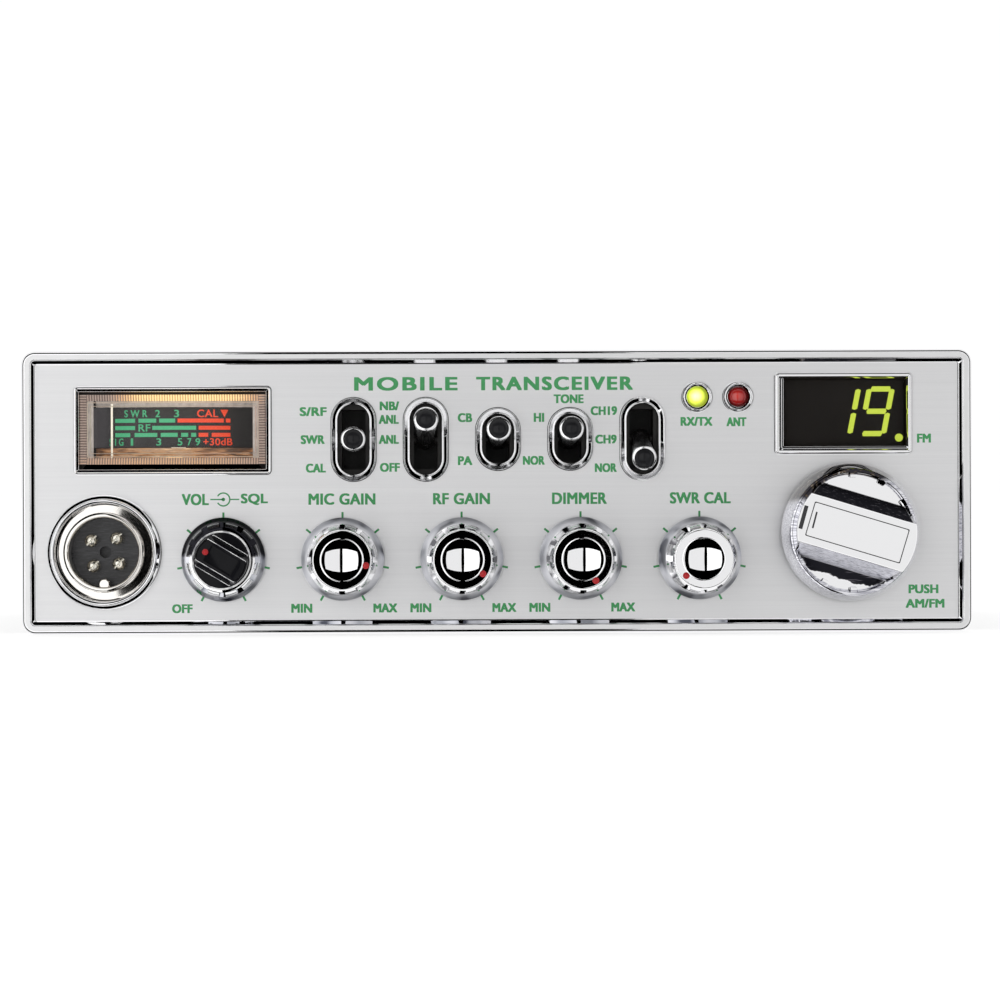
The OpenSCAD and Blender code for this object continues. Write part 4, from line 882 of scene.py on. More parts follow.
piece("needle_pointer",
      [moved(part, needle_stand)
       for part in (post(1.5, -5, -1), post(HUB_R, -1.2, 3.8),
                    bar_between(0.22, -needle_reach + 0.5, -1.2, -4.9, -4.5),
                    bar_between(0.15, -needle_reach, -needle_reach + 0.3, -5.6, 5.5))],
      needle_glow_paint, "needle", None, ["meter_needle"])
print("scale solids", len(green_dial) + len(red_dial))

# %% [markdown]
# The channel number is two lit figures behind a smoked window. The window is a thin dark sheet
# that lets light through, so an alpha below one does it, and a gloss keeps the studio in it. The
# figures glow, a little brighter along the middle of each bar.

# %% Display and lamps
smoked = Finish("smoked window", base_color=(0.010, 0.007, 0.005), ior=1.5, alpha=0.24,
                specular_ior_level=0.03)
haze = smoked.noise((0.15, 0.15, 0.15), detail=2)
smoked.set(roughness=0.03 + haze * 0.05)
window_low, window_high = span("display_window")
window_w, window_h = window_high.x - window_low.x, window_high.z - window_low.z
piece("display_lens",
      [loft([level(rounded(window_w - 2 * i, window_h - 2 * i, 0.4, 4), opening_at, window_low.y + y)
             for i, y in ((0.35, 0.0), (0.1, 0.1), (0.0, 0.3), (0.0, 1.6))])],
      smoked, "radio", "smoked_lens", ["display_window"])
figures = Finish("lit figures", roughness=0.4, emission_strength=0.95)
grid = figures.noise((3, 3, 3), detail=1)
figures.set(base_color=figures.mix(grid, (0.45, 0.55, 0.06), (0.55, 0.65, 0.1)),
            emission_color=figures.mix(grid, (0.72, 0.94, 0.055), (0.86, 1.0, 0.12)))
coat(figures, "channel_digits")
black_plastic = Finish("black moulding", ior=1.5, specular_ior_level=0.3)
pebble = black_plastic.noise((3, 3, 3), detail=3)
black_plastic.set(base_color=black_plastic.mix(pebble, (0.012, 0.011, 0.010), (0.03, 0.028, 0.027)),
                  roughness=0.32 + pebble * 0.2)
black_plastic.relief(pebble, 0.4, 0.03)
liner_black = Finish("window liner", roughness=0.95, specular_ior_level=0.0)
flock = liner_black.noise((4, 4, 4), detail=3)
liner_black.set(base_color=liner_black.mix(flock, (0.006, 0.005, 0.004), (0.014, 0.012, 0.010)))
piece("display_liner", [rim(opening_at, [(w, h, 0.3, face + y)
                                         for w, h, y in ((24.9, 13.9, -0.16), (24.3, 13.3, -0.16),
                                                         (24.3, 13.3, 2.8), (24.9, 13.9, 2.8))],
                            steps=3)], liner_black, "radio")


def lamp_finish(name, at, core, body, light):
    """A lamp that is brightest in its middle."""
    finish = Finish(name, roughness=0.05, ior=1.5, emission_strength=light, coat_weight=0.6)
    dx, dz = finish.axis("X") - at[0] + 0.25, finish.axis("Z") - at[1] - 0.2
    out = (dx * dx + dz * dz) ** 0.5 + finish.noise((0.9, 0.9, 0.9)) * 0.4
    colour = finish.ramp(out / 2.1, (0.2, core), (0.75, body), (1.0, tuple(c * 0.5 for c in body)))
    return finish.set(base_color=colour, emission_color=colour)


for name, node, finish in (
        ("receive_lamp", "receive_led",
         lamp_finish("lit green lamp", lamp_at[0], (1.0, 0.97, 0.42), (0.64, 0.75, 0.07), 0.72)),
        ("antenna_lamp", "antenna_led",
         lamp_finish("red lamp", lamp_at[1], (0.42, 0.03, 0.025), (0.22, 0.008, 0.008), 0.28))):
    low, high = span(node)
    at = spot(node)
    dome = [(1.85 * sin(t), low.y + 1.15 * (1 - cos(t))) for t in (0, 0.2, 0.4, 0.65, 0.9, 1.2, pi / 2)]
    collar = [(1.85, back), (2.4, back + 0.02), (2.4, back + 1), (1.85, back + 1.02), (1.85, back + 4),
              (0, back + 4)]
    leads = [loft([level(rounded(0.5, 0.5, 0.1, 2), (at[0] + side * 1.27, at[1]), y)
                   for y in (back + 3.9, high.y)]) for side in (-1, 1)]
    piece(name, [turned(at, dome + collar, angles=even(64))] + leads, finish, "radio",
          "lamp_green" if node == "receive_led" else "lamp_red", [node])
coat(black_plastic, "meter_case", "display_module", "channel_plunger", "channel_switch", "switch_bodies",
     "speaker_jacks")
print("display window", round(window_w, 1), "x", round(window_h, 1))

# %% [markdown]
# A small knob is plated plastic: a flared skirt, a grip with twelve notches, a flat ring and a
# dished middle that mirrors both lights. It is turned, and the notches are places round the turn
# where the radius is smaller, with extra points on both sides of each so that its walls are sharp.

# %% Small knobs
NOTCHES, NOTCH_HALF = 12, 4.9
OFFSETS = (-15, -12.5, -10, -7.5, -5.4, -4.6, -2.3, 0, 2.3, 4.6, 5.4, 7.5, 10, 12.5)
notch_angles = [radians(30 * k + d) for k in range(NOTCHES) for d in OFFSETS]


def notched(root, y_end, half=NOTCH_HALF):
    """Cuts a notch to the root radius at every thirtieth degree, as far back as y_end."""
    def shape(r, y, a):
        off = (degrees(a) + 15) % 30 - 15
        return min(r, root) if abs(off) < half and y < y_end else r
    return shape


def dish(r, depth, top, count=9):
    """The section of a hollow, from its middle to its edge."""
    ball = (r * r + depth * depth) / (2 * depth)
    return [(r * i / count, top + depth - ball + sqrt(ball * ball - (r * i / count) ** 2))
            for i in range(count + 1)]


def dot_on(at, clock, reach, r, y):
    x, z = at[0] + reach * sin(radians(clock)), at[1] + reach * cos(radians(clock))
    return turned((x, z), [(0, y - 0.34), (r * 0.45, y - 0.30), (r * 0.8, y - 0.16), (r, y), (r, y + 0.3),
                           (0, y + 0.3)], angles=even(28))


dot_red = Finish("red dot", ior=1.5, specular_ior_level=0.3, coat_weight=0.1)
dot_grain = dot_red.noise((3, 3, 3))
dot_red.set(base_color=dot_red.mix(dot_grain, (0.30, 0.008, 0.01), (0.42, 0.015, 0.02)),
            roughness=0.12 + dot_grain * 0.2)
DOTS = {"mic_gain": 103, "rf_gain": 125, "dimmer": 150, "swr_cal": -133}
for body, clock in DOTS.items():
    node = body + "_knob"
    at, (low, high) = spot(node), span(node)
    top, base, skirt = low.y, high.y, (high.x - low.x) / 2
    section = dish(4.0, 1.2, top) + [(4.04, top - 0.03), (4.14, top - 0.06), (4.24, top - 0.03),
                                     (4.3, top), (4.34, top), (5.6, top), (5.64, top), (5.76, top + 0.03),
                                     (5.88, top + 0.14), (6.12, top + 0.55), (6.45, top + 1.4),
                                     (6.72, top + 2.4), (6.8, base - 7), (6.95, base - 5.4),
                                     (6.97, base - 5.3), (7.1, base - 4.6), (7.32, base - 3.6),
                                     (7.6, base - 2.6), (7.95, base - 1.65), (skirt - 0.08, base - 0.95),
                                     (skirt, base - 0.75), (skirt, base - 0.12), (skirt - 0.15, base),
                                     (skirt - 1.1, base), (5.9, base - 4), (5.6, base - 10),
                                     (4.4, base - 10), (4.4, base - 0.5), (3.01, base - 0.5),
                                     (3.01, top + 3), (0, top + 3)]
    body_shape = notched(6.12, base - 5.35)

    def shape(r, y, a, cut=body_shape, limit=6.0):
        return cut(r, y, a) if r > limit else r

    piece(node + "_body", [turned(at, section, angles=notch_angles, shape=shape)], knob_chrome, body,
          "knob_plated", [node])
    piece(node + "_dot", [dot_on(at, clock, 4.85, 0.68, top)], dot_red, body, "knob_plated")
print("small knobs", round(2 * skirt, 1), "mm across,", round(base - top, 1), "mm tall")

# %% [markdown]
# The double control has a plated ring for squelch, with a castellated top, and a black inner knob
# for volume: a disc with a bar across it. The bar is a loft of strips cut to a circle, narrowing a
# little towards its top, so its ends follow the disc.

# %% Double control
ring_low, ring_high = span("squelch_knob")
at, top, base, skirt = spot("squelch_knob"), ring_low.y, ring_high.y, (ring_high.x - ring_low.x) / 2
ring_section = [(5.95, top), (6.3, top), (6.5, top + 0.08), (6.75, top + 0.4), (7.1, top + 1.1),
                (7.28, top + 1.8), (7.35, base - 3), (7.42, base - 2.5), (7.44, base - 2.4),
                (7.6, base - 1.95), (7.9, base - 1.35), (skirt - 0.1, base - 0.85), (skirt, base - 0.65),
                (skirt, base - 0.1), (skirt - 0.12, base), (skirt - 1.1, base), (6.3, base - 2.4),
                (6.1, base - 4.4), (4.4, base - 4.4), (4.4, base - 0.5), (3.01, base - 0.5),
                (3.01, top + 2), (5.4, top + 2), (5.8, top + 0.2)]
ring_cut = notched(6.5, base - 2.45, 5.0)
squelch_chrome = skirted("squelch chrome", 5.2, 0.4)
# The ring's top is painted near black above a wavy line, a painted reflection of the dark above it.
above = squelch_chrome.axis("Z") - at[1]
lit_side = squelch_chrome.axis("X") - at[0]
shade_wobble = squelch_chrome.noise((0.3, 0.3, 0.3), detail=2)
shade_line = (above + abs(lit_side) * 0.25 + shade_wobble * 3 - 1.5).above(2.6, 0.8)
squelch_chrome.set(base_color=squelch_chrome.mix(shade_line, squelch_chrome.fed("Base Color"),
                                                 (0.018, 0.018, 0.022)))
piece("squelch_ring", [turned(at, ring_section, closed=True, angles=notch_angles,
                              shape=lambda r, y, a: ring_cut(r, y, a) if r > 6.4 else r)],
      squelch_chrome, "squelch", "knob_plated", ["squelch_knob"])


def strip_across(half, radius, count=10):
    """A strip across a disc, as (x, z): straight sides, and ends that follow the disc."""
    reach = asin(half / radius)
    return [(radius * cos(side - reach + 2 * reach * i / count),
             radius * sin(side - reach + 2 * reach * i / count)) for side in (0, pi)
            for i in range(count + 1)]


def panel_outline(half_long, half_wide, r, count=10):
    """A rounded rectangle with its points shared out as in strip_across."""
    points, each = [], (count + 1) // 2
    for k, (sx, sz) in enumerate(((1, -1), (1, 1), (-1, 1), (-1, -1))):
        turns = each if k % 2 == 0 else count + 1 - each
        for i in range(turns):
            a = (k - 1) * pi / 2 + (pi / 2) * i / (turns - 1)
            points.append((sx * (half_long - r) + r * cos(a), sz * (half_wide - r) + r * sin(a)))
    return points


volume_low, volume_high = span("volume_knob")
VOLUME_TURN, VOLUME_BAR = 30.8, 2.5
seat, bar_top = volume_high.y, volume_low.y
disc = turned(at, [(1.61, seat), (5.7, seat), (5.8, seat - 0.1), (5.8, seat - 3.1), (5.7, seat - 3.45),
                   (5.4, seat - 3.75), (5.1, seat - 3.8), (0, seat - 3.8), (0, bar_top + 2),
                   (1.61, bar_top + 2)], angles=even(96))
bar_rows = [(VOLUME_BAR + 0.95, 5.38, seat - 3.7), (VOLUME_BAR + 0.7, 5.3, seat - 4.1),
            (VOLUME_BAR, 5.28, bar_top + 0.35), (VOLUME_BAR - 0.08, 5.2, bar_top + 0.1),
            (VOLUME_BAR - 0.28, 5.0, bar_top)]
bar = loft([level(strip_across(w, r), at, y, VOLUME_TURN) for w, r, y in bar_rows]
           + [level(panel_outline(3.1, 1.75, 0.2), at, y, VOLUME_TURN) for y in (bar_top, bar_top + 0.25)]
           + [level(panel_outline(2.85, 1.5, 0.15), at, bar_top + 0.28, VOLUME_TURN)])
gloss_black = Finish("glossy black plating", ior=1.45, specular_ior_level=0.1)
smear = gloss_black.noise((0.4, 0.4, 0.4), detail=3)
gloss_black.set(base_color=gloss_black.mix(smear, (0.004, 0.004, 0.005), (0.010, 0.010, 0.012)),
                roughness=0.05 + smear * 0.08)
gloss_black.relief(gloss_black.noise((0.5, 0.5, 0.5), detail=1), 0.4, 0.004)
piece("volume_bar", [disc, bar], gloss_black, "volume", "knob_plated", ["volume_knob"])


def edge_line(outline, y, wide=0.13):
    """A fine pale line along a closed outline of (x, z) points, a painted highlight on an edge."""
    inner = [(x - copysign(min(abs(x), wide), x), z - copysign(min(abs(z), wide), z)) for x, z in outline]
    return loft([level(ring, at, depth, VOLUME_TURN)
                 for ring, depth in ((outline, y + 0.1), (outline, y - 0.02),
                                     (inner, y - 0.02), (inner, y + 0.1))], closed=True)


# The pale lines along the bar's and disc's edges are painted highlights.
edge_highlight_paint = Finish("painted edge highlight", roughness=0.25, metallic=0.3)
edge_shine = edge_highlight_paint.noise((0.5, 0.5, 0.5), detail=2)
edge_highlight_paint.set(base_color=edge_highlight_paint.ramp(edge_shine, (0.38, (0.30, 0.30, 0.32)),
                                          (0.52, (0.80, 0.80, 0.80)), (0.7, (0.95, 0.95, 0.95))))
piece("volume_edge_highlights", [edge_line(strip_across(VOLUME_BAR - 0.06, 5.0), bar_top + 0.02),
                       edge_line(strip_across(VOLUME_BAR + 1.1, 5.3), seat - 3.86),
                       turned(at, [(5.5, seat - 3.86), (5.62, seat - 3.9), (5.8, seat - 3.88),
                                   (5.86, seat - 3.7), (5.5, seat - 3.5)], closed=True, angles=even(96))],
      edge_highlight_paint, "volume", "knob_plated")
piece("volume_dot", [dot_on(at, -61, 3.5, 0.62, bar_top)], dot_red, "volume", "knob_plated")
print("squelch ring", round(2 * skirt, 1), "mm, volume bar turned", VOLUME_TURN, "degrees")

# %% [markdown]
# The channel selector is the largest knob: a plated dish with a notched rim and a broad grip
# across it, which stands well proud. The grip's top has a panel outlined by a fine groove, and two
# dark pointer lines at one end.

# %% Channel knob
knob_low, knob_high = span("channel_knob")
R = (knob_high.x - knob_low.x) / 2
CHANNEL_TURN = 16.8
grip_top, knob_rear = knob_low.y, knob_high.y
dish_floor, rim_front = knob_rear - 6, knob_rear - 8.4
RIM, WELL = R - 1.1, R - 2.05
tab_offsets = (-15, -11, -7.5, -4.0, -3.2, 0, 3.2, 4.0, 7.5, 11)
tab_angles = [radians(30 * k + d) for k in range(NOTCHES) for d in tab_offsets]
rim_section = [(0, dish_floor), (WELL - 1.4, dish_floor), (WELL - 0.15, dish_floor),
               (WELL - 0.05, dish_floor - 0.3), (WELL, rim_front + 0.5), (WELL + 0.06, rim_front + 0.16),
               (WELL + 0.22, rim_front), (WELL + 0.5, rim_front), (RIM - 0.2, rim_front + 0.08),
               (RIM - 0.05, rim_front + 0.35), (RIM, rim_front + 0.7), (R - 0.3, knob_rear - 4.6),
               (R - 0.1, knob_rear - 2.2), (R, knob_rear - 1.1), (R, knob_rear - 0.4),
               (R - 0.2, knob_rear), (R - 1.6, knob_rear), (R - 1.9, dish_floor + 1.7),
               (4.6, dish_floor + 1.7), (4.6, knob_rear), (3.01, knob_rear), (3.01, grip_top + 4),
               (0, grip_top + 4)]


def tabs(r, y, a):
    """Small lugs on the inside of the rim."""
    off = (degrees(a) + 15) % 30 - 15
    on_wall = WELL - 0.2 < r < WELL + 0.1 and y < dish_floor + 0.1
    return r - 0.75 if on_wall and abs(off) < 3.6 else r


def strip_uneven(upper, lower, radius, count=14):
    """A strip across a disc that reaches further to one side than to the other, as (x, z)."""
    up, down = asin(upper / radius), asin(lower / radius)
    right = [-down + (up + down) * i / count for i in range(count + 1)]
    return [(radius * cos(a), radius * sin(a)) for a in right + [pi - a for a in reversed(right)]]


# From the floor up: how far the grip reaches to its upper side and to its lower side, its radius
# and its depth.
grip_rows = [(7.6, 7.4, WELL - 0.05, dish_floor + 0.3), (7.6, 7.4, WELL - 0.1, dish_floor - 0.1),
             (7.3, 7.2, WELL, dish_floor - 1.3), (6.6, 6.72, R - 1.7, rim_front - 0.5),
             (4.98, 5.3, R - 1.98, grip_top + 2.6), (4.93, 5.05, R - 1.95, grip_top + 0.6),
             (4.85, 4.9, R - 2.0, grip_top + 0.14), (4.7, 4.72, R - 2.15, grip_top)]
panel_rows = [(9.75, 3.5, grip_top), (9.72, 3.47, grip_top + 0.12), (9.6, 3.35, grip_top + 0.12),
              (9.56, 3.31, grip_top)]
grip = loft([level(strip_uneven(u, v, r), channel_at, y, CHANNEL_TURN) for u, v, r, y in grip_rows]
            + [level(panel_outline(u, w, 0.25, 14), channel_at, y, CHANNEL_TURN) for u, w, y in panel_rows])

# The plating is one finish with light and shade painted into its colour by place: the rim is painted
# grey, and dark where it faces up, as a painted reflection; the grip's upper side and the dish floor
# below the grip are painted dark where they mirror each other, as painted shade and shadow; the
# grip's lower side is painted a lit grey.
channel_chrome = skirted("channel chrome", 6.5, 1.5)
dx, dz = channel_chrome.axis("X") - channel_at[0], channel_chrome.axis("Z") - channel_at[1]
turn_c, turn_s = cos(radians(CHANNEL_TURN)), sin(radians(CHANNEL_TURN))
out = (dx * dx + dz * dz) ** 0.5
across, depth = dz * turn_c + dx * turn_s, channel_chrome.axis("Y")
GRIP_EDGE, LOWER_FOOT, UPPER_FOOT, SHADOW_END = 4.95, 7.45, 7.75, 10.6
below = 0 - across
dark_top_noise = channel_chrome.noise((1.4, 1.4, 1.4), detail=3)
reflection_streak = channel_chrome.noise((0.25, 3.5, 3.5), detail=2, turn=(0, radians(CHANNEL_TURN), 0))
wave = channel_chrome.noise((0.45, 0.45, 0.45), detail=2)
on_rim, below_top = out.above(WELL - 0.3, 0.3), depth.above(grip_top + 0.5, 0.3)
in_dish = below_top * (1 - on_rim)
lit = channel_chrome.fed("Base Color")
# The rim's face is painted a streaky grey, a painted reflection.
lit = channel_chrome.mix(on_rim * below_top * 0.8, lit,
                         channel_chrome.ramp(reflection_streak, (0.4, (0.30, 0.30, 0.36)),
                                             (0.6, (0.80, 0.80, 0.85))))
# The grip's lower side is painted a lit grey and made less metallic, as painted light.
lit_lower_side = in_dish * below.above(GRIP_EDGE, 0.1) * (1 - below.above(LOWER_FOOT, 0.15))
lit = channel_chrome.mix(lit_lower_side, lit, channel_chrome.ramp(
    reflection_streak, (0.36, (0.30, 0.30, 0.34)), (0.46, (0.60, 0.60, 0.66)), (0.7, (0.76, 0.76, 0.81))))
# The grip's upper side and the dish floor under the grip are painted dark: painted shade and shadow.
shaded_upper_side = across.above(GRIP_EDGE, 0.1) * (1 - across.above(UPPER_FOOT, 0.2))
floor_shade = below.above(LOWER_FOOT, 0.15) * (1 - (below + wave * 2.2).above(SHADOW_END, 0.15))
shadow = in_dish * (shaded_upper_side + floor_shade)
shadow_colour = channel_chrome.ramp(reflection_streak, (0.62, (0.016, 0.016, 0.02)), (0.72, (0.16, 0.15, 0.17)))
lit = channel_chrome.mix(shadow, lit, shadow_colour)
# The rim's top edge is painted dark, a painted reflection of the dark above it.
painted_dark_top = (dz * 0.97 - dx * 0.22).above(R * 0.62, 1.6) * on_rim * below_top
dark_top_colour = channel_chrome.ramp(dark_top_noise, (0.5, (0.035, 0.033, 0.04)), (0.62, (0.12, 0.09, 0.06)),
                                (0.72, (0.5, 0.5, 0.5)))
channel_chrome.set(base_color=channel_chrome.mix(painted_dark_top, lit, dark_top_colour),
                   metallic=1 - shadow - lit_lower_side * 0.8, specular_ior_level=0.0)
piece("channel_dial", [turned(channel_at, rim_section, angles=tab_angles, shape=tabs), grip],
      channel_chrome, "channel", "knob_plated", ["channel_knob"])


def inlay(u, v0, v1, wide, lean):
    """A short pointer line across the grip, slightly proud of it."""
    flat = [(u - wide / 2, v0), (u + wide / 2, v0), (u + wide / 2 + lean, v1), (u - wide / 2 + lean, v1)]
    return loft([level(flat, channel_at, y, CHANNEL_TURN) for y in (grip_top - 0.03, grip_top + 0.1)])


line_black = Finish("pointer paint", ior=1.5)
line_grain = line_black.noise((2, 2, 2))
line_black.set(base_color=line_black.mix(line_grain, (0.012, 0.012, 0.014), (0.035, 0.035, 0.04)),
               roughness=0.3 + line_grain * 0.2)
piece("channel_pointer", [inlay(-11.0, -2.5, 2.2, 0.8, -0.1), inlay(-8.7, -1.7, 1.6, 0.34, -0.1)],
      line_black, "channel", "knob_plated")
# The groove round the grip's panel is lined with black paint, a painted shade in the groove.
outline = loft([level(panel_outline(u, w, 0.25, 14), channel_at, y, CHANNEL_TURN) for u, w, y in
                ((9.74, 3.49, grip_top + 0.1), (9.74, 3.49, grip_top - 0.01), (9.58, 3.33, grip_top - 0.01),
                 (9.58, 3.33, grip_top + 0.1))], closed=True)
piece("channel_groove_shade", [outline], line_black, "channel", "knob_plated")
print("channel knob", round(2 * R, 1), "mm across; grip stands", round(rim_front - grip_top, 1),
      "mm above its rim")

# %% [markdown]
# A lever is a plated sleeve that widens to its tip, with a glossy black bead in the end. Each is
# made upright on its own axis and then tilted about its pivot, by the tilt its solid has at rest,
# which is measured from where the solid's tip is.

# %% Levers
lever_chrome = plated("lever chrome", (0.92, 0.92, 0.93), 0.18, 0.25)
bead_black = Finish("glossy black bead", ior=1.45, specular_ior_level=0.15)
bead_grain = bead_black.noise((1.5, 1.5, 1.5))
bead_black.set(base_color=bead_black.mix(bead_grain, (0.008, 0.008, 0.009), (0.02, 0.02, 0.022)),
               roughness=0.06 + bead_grain * 0.05)
PIVOT_Y, LEVER = face + 9, 18.3
SWITCHES = ["meter_switch", "noise_switch", "pa_switch", "tone_switch", "priority_switch"]
tilts = []
for node, body, at in zip(LEVERS, SWITCHES, lever_at):
    low, high = span(node)
    tip = [v.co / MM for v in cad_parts[node].data.vertices if v.co.y / MM < low.y + 2.5]
    tip_z = (max(p.z for p in tip) + min(p.z for p in tip)) / 2
    tip_y = sum(p.y for p in tip) / len(tip)
    tilt = atan2(tip_z - lever_z, PIVOT_Y - tip_y)
    tilts.append(round(degrees(tilt), 1))
    stand = Matrix.Translation(Vector((at[0], PIVOT_Y, lever_z))) @ Matrix.Rotation(-tilt, 4, "X")
    sleeve = turned((0, 0), [(0, -LEVER + 1.9), (1.92, -LEVER + 1.9), (1.94, -LEVER + 0.1),
                             (1.97, -LEVER + 0.02), (2.0, -LEVER), (2.32, -LEVER + 0.09),
                             (2.42, -LEVER + 0.16), (2.45, -LEVER + 0.34), (2.36, -LEVER + 1.6),
                             (2.2, -LEVER + 4.0), (1.62, -2), (1.5, -0.6), (1.5, 0.5), (0.9, 1.2),
                             (0.9, 5), (0, 5)], angles=even(64))
    ball = turned((0, 0), [(2.1 * sin(t), -2.1 * cos(t)) for t in [pi * i / 12 for i in range(13)]],
                  angles=even(32))
    pin = moved(turned((0, 0), [(0, -3.3), (0.8, -3.3), (0.8, 3.3), (0, 3.3)], angles=even(20)),
                lambda x, y, z: (y, x, z))
    piece(node + "_sleeve", [moved(s, stand) for s in (sleeve, ball)], lever_chrome, body, "lever_metal",
          [node])
    # The pivot pin is given the black moulding's finish as painted shade, so that it reads as the dark
    # inside the slot.
    piece(node + "_pivot", [moved(pin, stand)], black_plastic, body, "lever_metal")
    bead = turned((0, 0), [(2.4 * sin(t), -LEVER + 1.3 - 2.4 * cos(t))
                           for t in (0, 0.15, 0.3, 0.45, 0.6, 0.75, 0.9)]
                  + [(1.93, -LEVER + 0.4), (1.93, -LEVER + 1.8), (0, -LEVER + 1.8)], angles=even(48))
    piece(node + "_bead", [moved(bead, stand)], bead_black, body, "lever_metal")
print("lever tilts at rest", tilts)

# %% [markdown]
# The case is folded sheet steel. The covers have a black powder coat with a fine orange-peel
# texture, the chassis is zinc plated, which dulls to a soft grey, and the heat
# sink is black anodised aluminium. Small bevels, made by a modifier, catch light on the heat sink, sockets
# and nuts.

# %% Case finishes
def bevelled(node, wide):
    """A small rounded edge on a solid that keeps its own shape."""
    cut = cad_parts[node].modifiers.new("edge", "BEVEL")
    cut.width, cut.segments, cut.limit_method, cut.angle_limit = wide * MM, 2, "ANGLE", radians(50)
    cut.harden_normals = False


powder = Finish("black powder coat", specular_ior_level=0.45)
peel, dust = powder.noise((1.6, 1.6, 1.6), detail=3), powder.noise((0.05, 0.05, 0.05), detail=4)
powder.set(base_color=powder.mix(dust, (0.016, 0.016, 0.017), (0.030, 0.030, 0.032)),
           roughness=0.38 + peel * 0.25)
powder.relief(peel, 0.7, 0.09)
coat(powder, "top_cover", "bottom_cover")
zinc = Finish("zinc plate", metallic=1.0)
smudge = zinc.noise((0.08, 0.08, 0.08), detail=4)
zinc.set(base_color=zinc.mix(smudge, (0.50, 0.50, 0.48), (0.66, 0.66, 0.63)),
         roughness=0.3 + zinc.noise((0.6, 0.6, 0.6), detail=3) * 0.25)
coat(zinc, "sub_panel", "chassis_frame", "chassis_screws")
black_screw = Finish("blackened steel", metallic=0.9)
oil = black_screw.noise((1.5, 1.5, 1.5), detail=3)
black_screw.set(base_color=black_screw.mix(oil, (0.04, 0.04, 0.042), (0.09, 0.09, 0.09)),
                roughness=0.3 + oil * 0.2)
coat(black_screw, "cover_screws")
anodised = Finish("black anodising", metallic=0.4)
mill = anodised.noise((0.2, 6, 0.2), detail=3)
anodised.set(base_color=anodised.mix(mill, (0.018, 0.018, 0.020), (0.04, 0.04, 0.043)),
             roughness=0.35 + mill * 0.2)
anodised.relief(mill, 0.5, 0.02)
coat(anodised, "heat_sink")
coat(nickel, "bracket_nuts", "panel_nuts")
for node in ("heat_sink", "power_socket", "speaker_jacks", "bracket_nuts", "panel_nuts"):
    bevelled(node, 0.15)
print("case finishes", powder.material.name, zinc.material.name, anodised.material.name)

# %% [markdown]
# At the back, the antenna socket is a nickel-plated barrel with a coarse thread, on a square
# flange. It is made like the microphone's barrel. The flange is a loft of rounded squares.

# %% Rear sockets
antenna_at = spot("antenna_insulator")
socket_low, socket_high = span("antenna_socket")
tip = socket_high.y
barrel = ([(6.3, tip), (7.2, tip), (7.5, tip - 0.25)]
          + [(7.94, y) for y in reversed(steps(rear + 4, tip - 0.45, 0.17))])
barrel += [(7.55, rear + 3.6), (7.6, rear + 2.1), (6.2, rear + 2.1), (6.3, rear + 3.2)]
flange = rim(antenna_at, [(25.4, 25.4, 2, rear + 0.02), (25.4, 25.4, 2, rear + 1.95),
                          (25.2, 25.2, 1.9, rear + 2.12), (24.9, 24.9, 1.75, rear + 2.2),
                          (13, 13, 6.5, rear + 2.2), (9, 9, 4.5, rear + 0.02)])
collar = turned(antenna_at, [(8.0, rear + 0.1), (8.0, socket_low.y), (4.5, socket_low.y),
                             (4.5, rear + 0.1)], closed=True)
piece("antenna_barrel", [turned(antenna_at, barrel, closed=True,
                                shape=thread(7.45, 7.94, 1.06, rear + 4, tip - 0.4)), flange, collar],
      nickel, "radio", "nickel", ["antenna_socket"])
nylon = Finish("white nylon", subsurface_weight=0.0, ior=1.5)
cloud = nylon.noise((0.5, 0.5, 0.5), detail=3)
nylon.set(base_color=nylon.mix(cloud, (0.80, 0.78, 0.71), (0.88, 0.86, 0.80)),
          roughness=0.38 + cloud * 0.15)
nylon.relief(cloud, 0.3, 0.02)
coat(nylon, "antenna_insulator", "power_socket")
print("antenna socket", round(tip - rear, 1), "mm long")

# %% [markdown]
# Behind the panel every part keeps its own solid, and gets the finish that it has on the bench:
# green solder mask over copper tracks, tinned cans, blue sleeves, marked black chips, laminated
# core steel, red wire, pressed paper. Each is a small pattern at its real scale.

# %% Inside finishes
board = Finish("green board", coat_weight=0.5)
tracks = board.add("ShaderNodeTexBrick", {"offset": 0.37, "squash": 0.6},
                   {"Vector": board.place((0.32, 0.5, 0.5)), "Scale": 1.0, "Mortar Size": 0.09,
                    "Color1": (0.0, 0.0, 0.0), "Color2": (0.15, 0.15, 0.15), "Mortar": (1.0, 1.0, 1.0)})
weave = board.noise((2, 2, 2))
board.set(base_color=board.mix(tracks, (0.035, 0.17, 0.075), (0.08, 0.30, 0.14)),
          roughness=0.25 + weave * 0.15)
board.relief(weave, 0.2, 0.02)
coat(board, "main_board")


def simple(name, dark, light, size, low, high, depth, *nodes, **constants):
    """A finish whose colour, roughness and height follow one noise of a given grain."""
    finish = Finish(name, **constants)
    grain = finish.noise(size, detail=3)
    finish.set(base_color=finish.mix(grain, dark, light), roughness=low + grain * (high - low))
    finish.relief(grain, 0.4, depth)
    coat(finish, *nodes)
    return finish


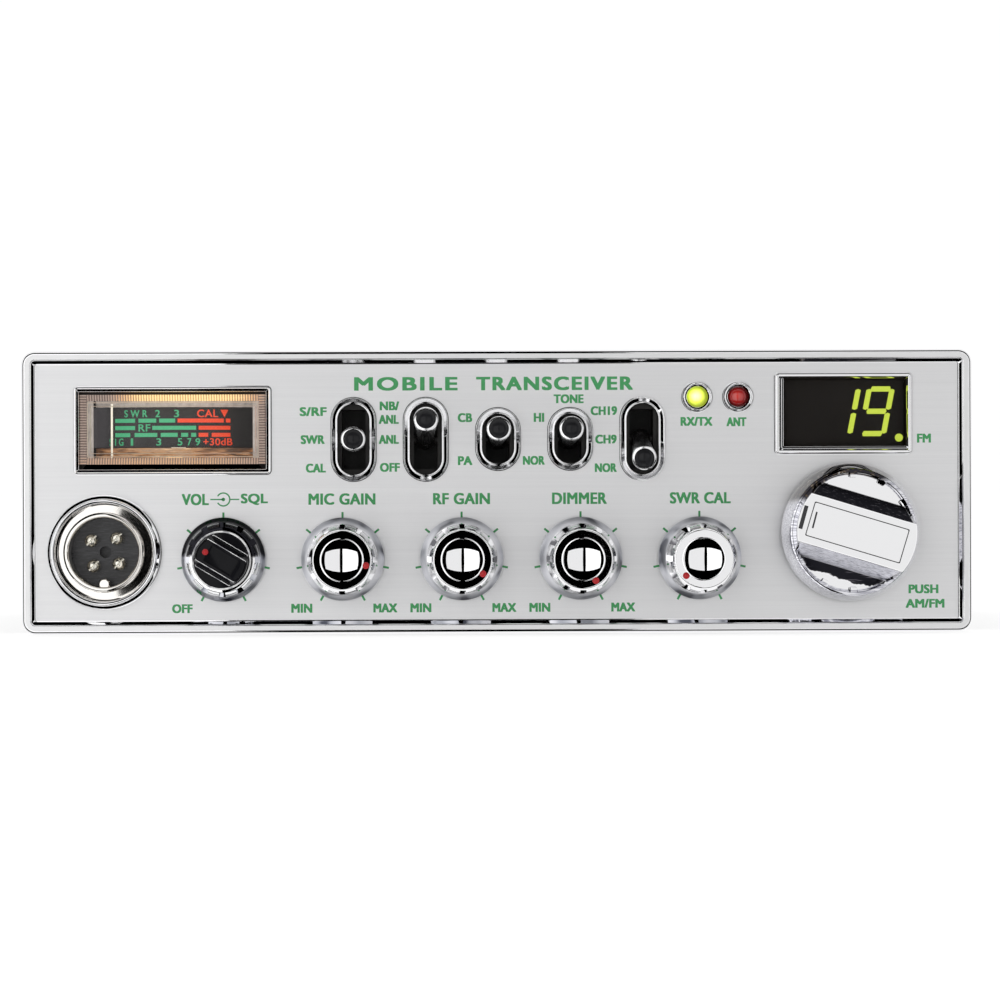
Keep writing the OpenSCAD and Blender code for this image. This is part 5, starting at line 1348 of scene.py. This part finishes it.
simple("tinned can", (0.62, 0.62, 0.62), (0.80, 0.80, 0.80), (0.3, 0.3, 0.3), 0.18, 0.4, 0.02,
       "tuning_cans", metallic=1.0)
simple("blue sleeve", (0.03, 0.07, 0.24), (0.05, 0.11, 0.34), (0.5, 0.5, 0.5), 0.2, 0.35, 0.02,
       "capacitors", coat_weight=0.4)
simple("moulded chip", (0.018, 0.018, 0.02), (0.04, 0.04, 0.044), (4, 4, 4), 0.5, 0.7, 0.03, "chips")
simple("laminated core", (0.12, 0.10, 0.08), (0.30, 0.25, 0.20), (0.2, 0.2, 2.5), 0.35, 0.6, 0.05,
       "audio_transformer", metallic=0.7)
simple("wire cover", (0.38, 0.03, 0.03), (0.55, 0.06, 0.05), (0.4, 0.4, 0.4), 0.3, 0.45, 0.02,
       "wiring_loom")
simple("painted basket", (0.30, 0.32, 0.33), (0.42, 0.44, 0.45), (0.4, 0.4, 0.4), 0.35, 0.55, 0.02,
       "speaker_frame", metallic=0.8)
simple("pressed paper", (0.035, 0.03, 0.026), (0.085, 0.075, 0.066), (0.9, 0.9, 0.9), 0.75, 0.95, 0.12,
       "speaker_cone")
simple("magnet iron", (0.10, 0.10, 0.105), (0.20, 0.20, 0.21), (0.6, 0.6, 0.6), 0.35, 0.6, 0.03,
       "speaker_magnet", "meter_movement", metallic=0.9)
simple("ground shaft", (0.58, 0.58, 0.58), (0.75, 0.75, 0.75), (0.2, 3, 0.2), 0.16, 0.3, 0.01,
       "volume_shaft", "squelch_shaft", "mic_gain_shaft", "rf_gain_shaft", "dimmer_shaft",
       "swr_cal_shaft", "channel_shaft", metallic=1.0)
simple("control can", (0.42, 0.42, 0.41), (0.58, 0.58, 0.56), (0.4, 0.4, 0.4), 0.28, 0.5, 0.03,
       "potentiometers", metallic=1.0)


def patterned(material):
    """True for a material whose colour comes from nodes."""
    shader = material and material.use_nodes and material.node_tree.nodes.get("Principled BSDF")
    return bool(shader and shader.inputs["Base Color"].is_linked)


bare = [name for name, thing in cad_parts.items()
        if not thing.hide_render and not any(patterned(slot.material) for slot in thing.material_slots)]
print("solids still without a finish:", bare)

# %% [markdown]
# The last step counts the new pieces and their faces.

# %% Count of pieces, and the end
print(len(made), "new pieces,", sum(len(o.data.polygons) for o in made), "faces")
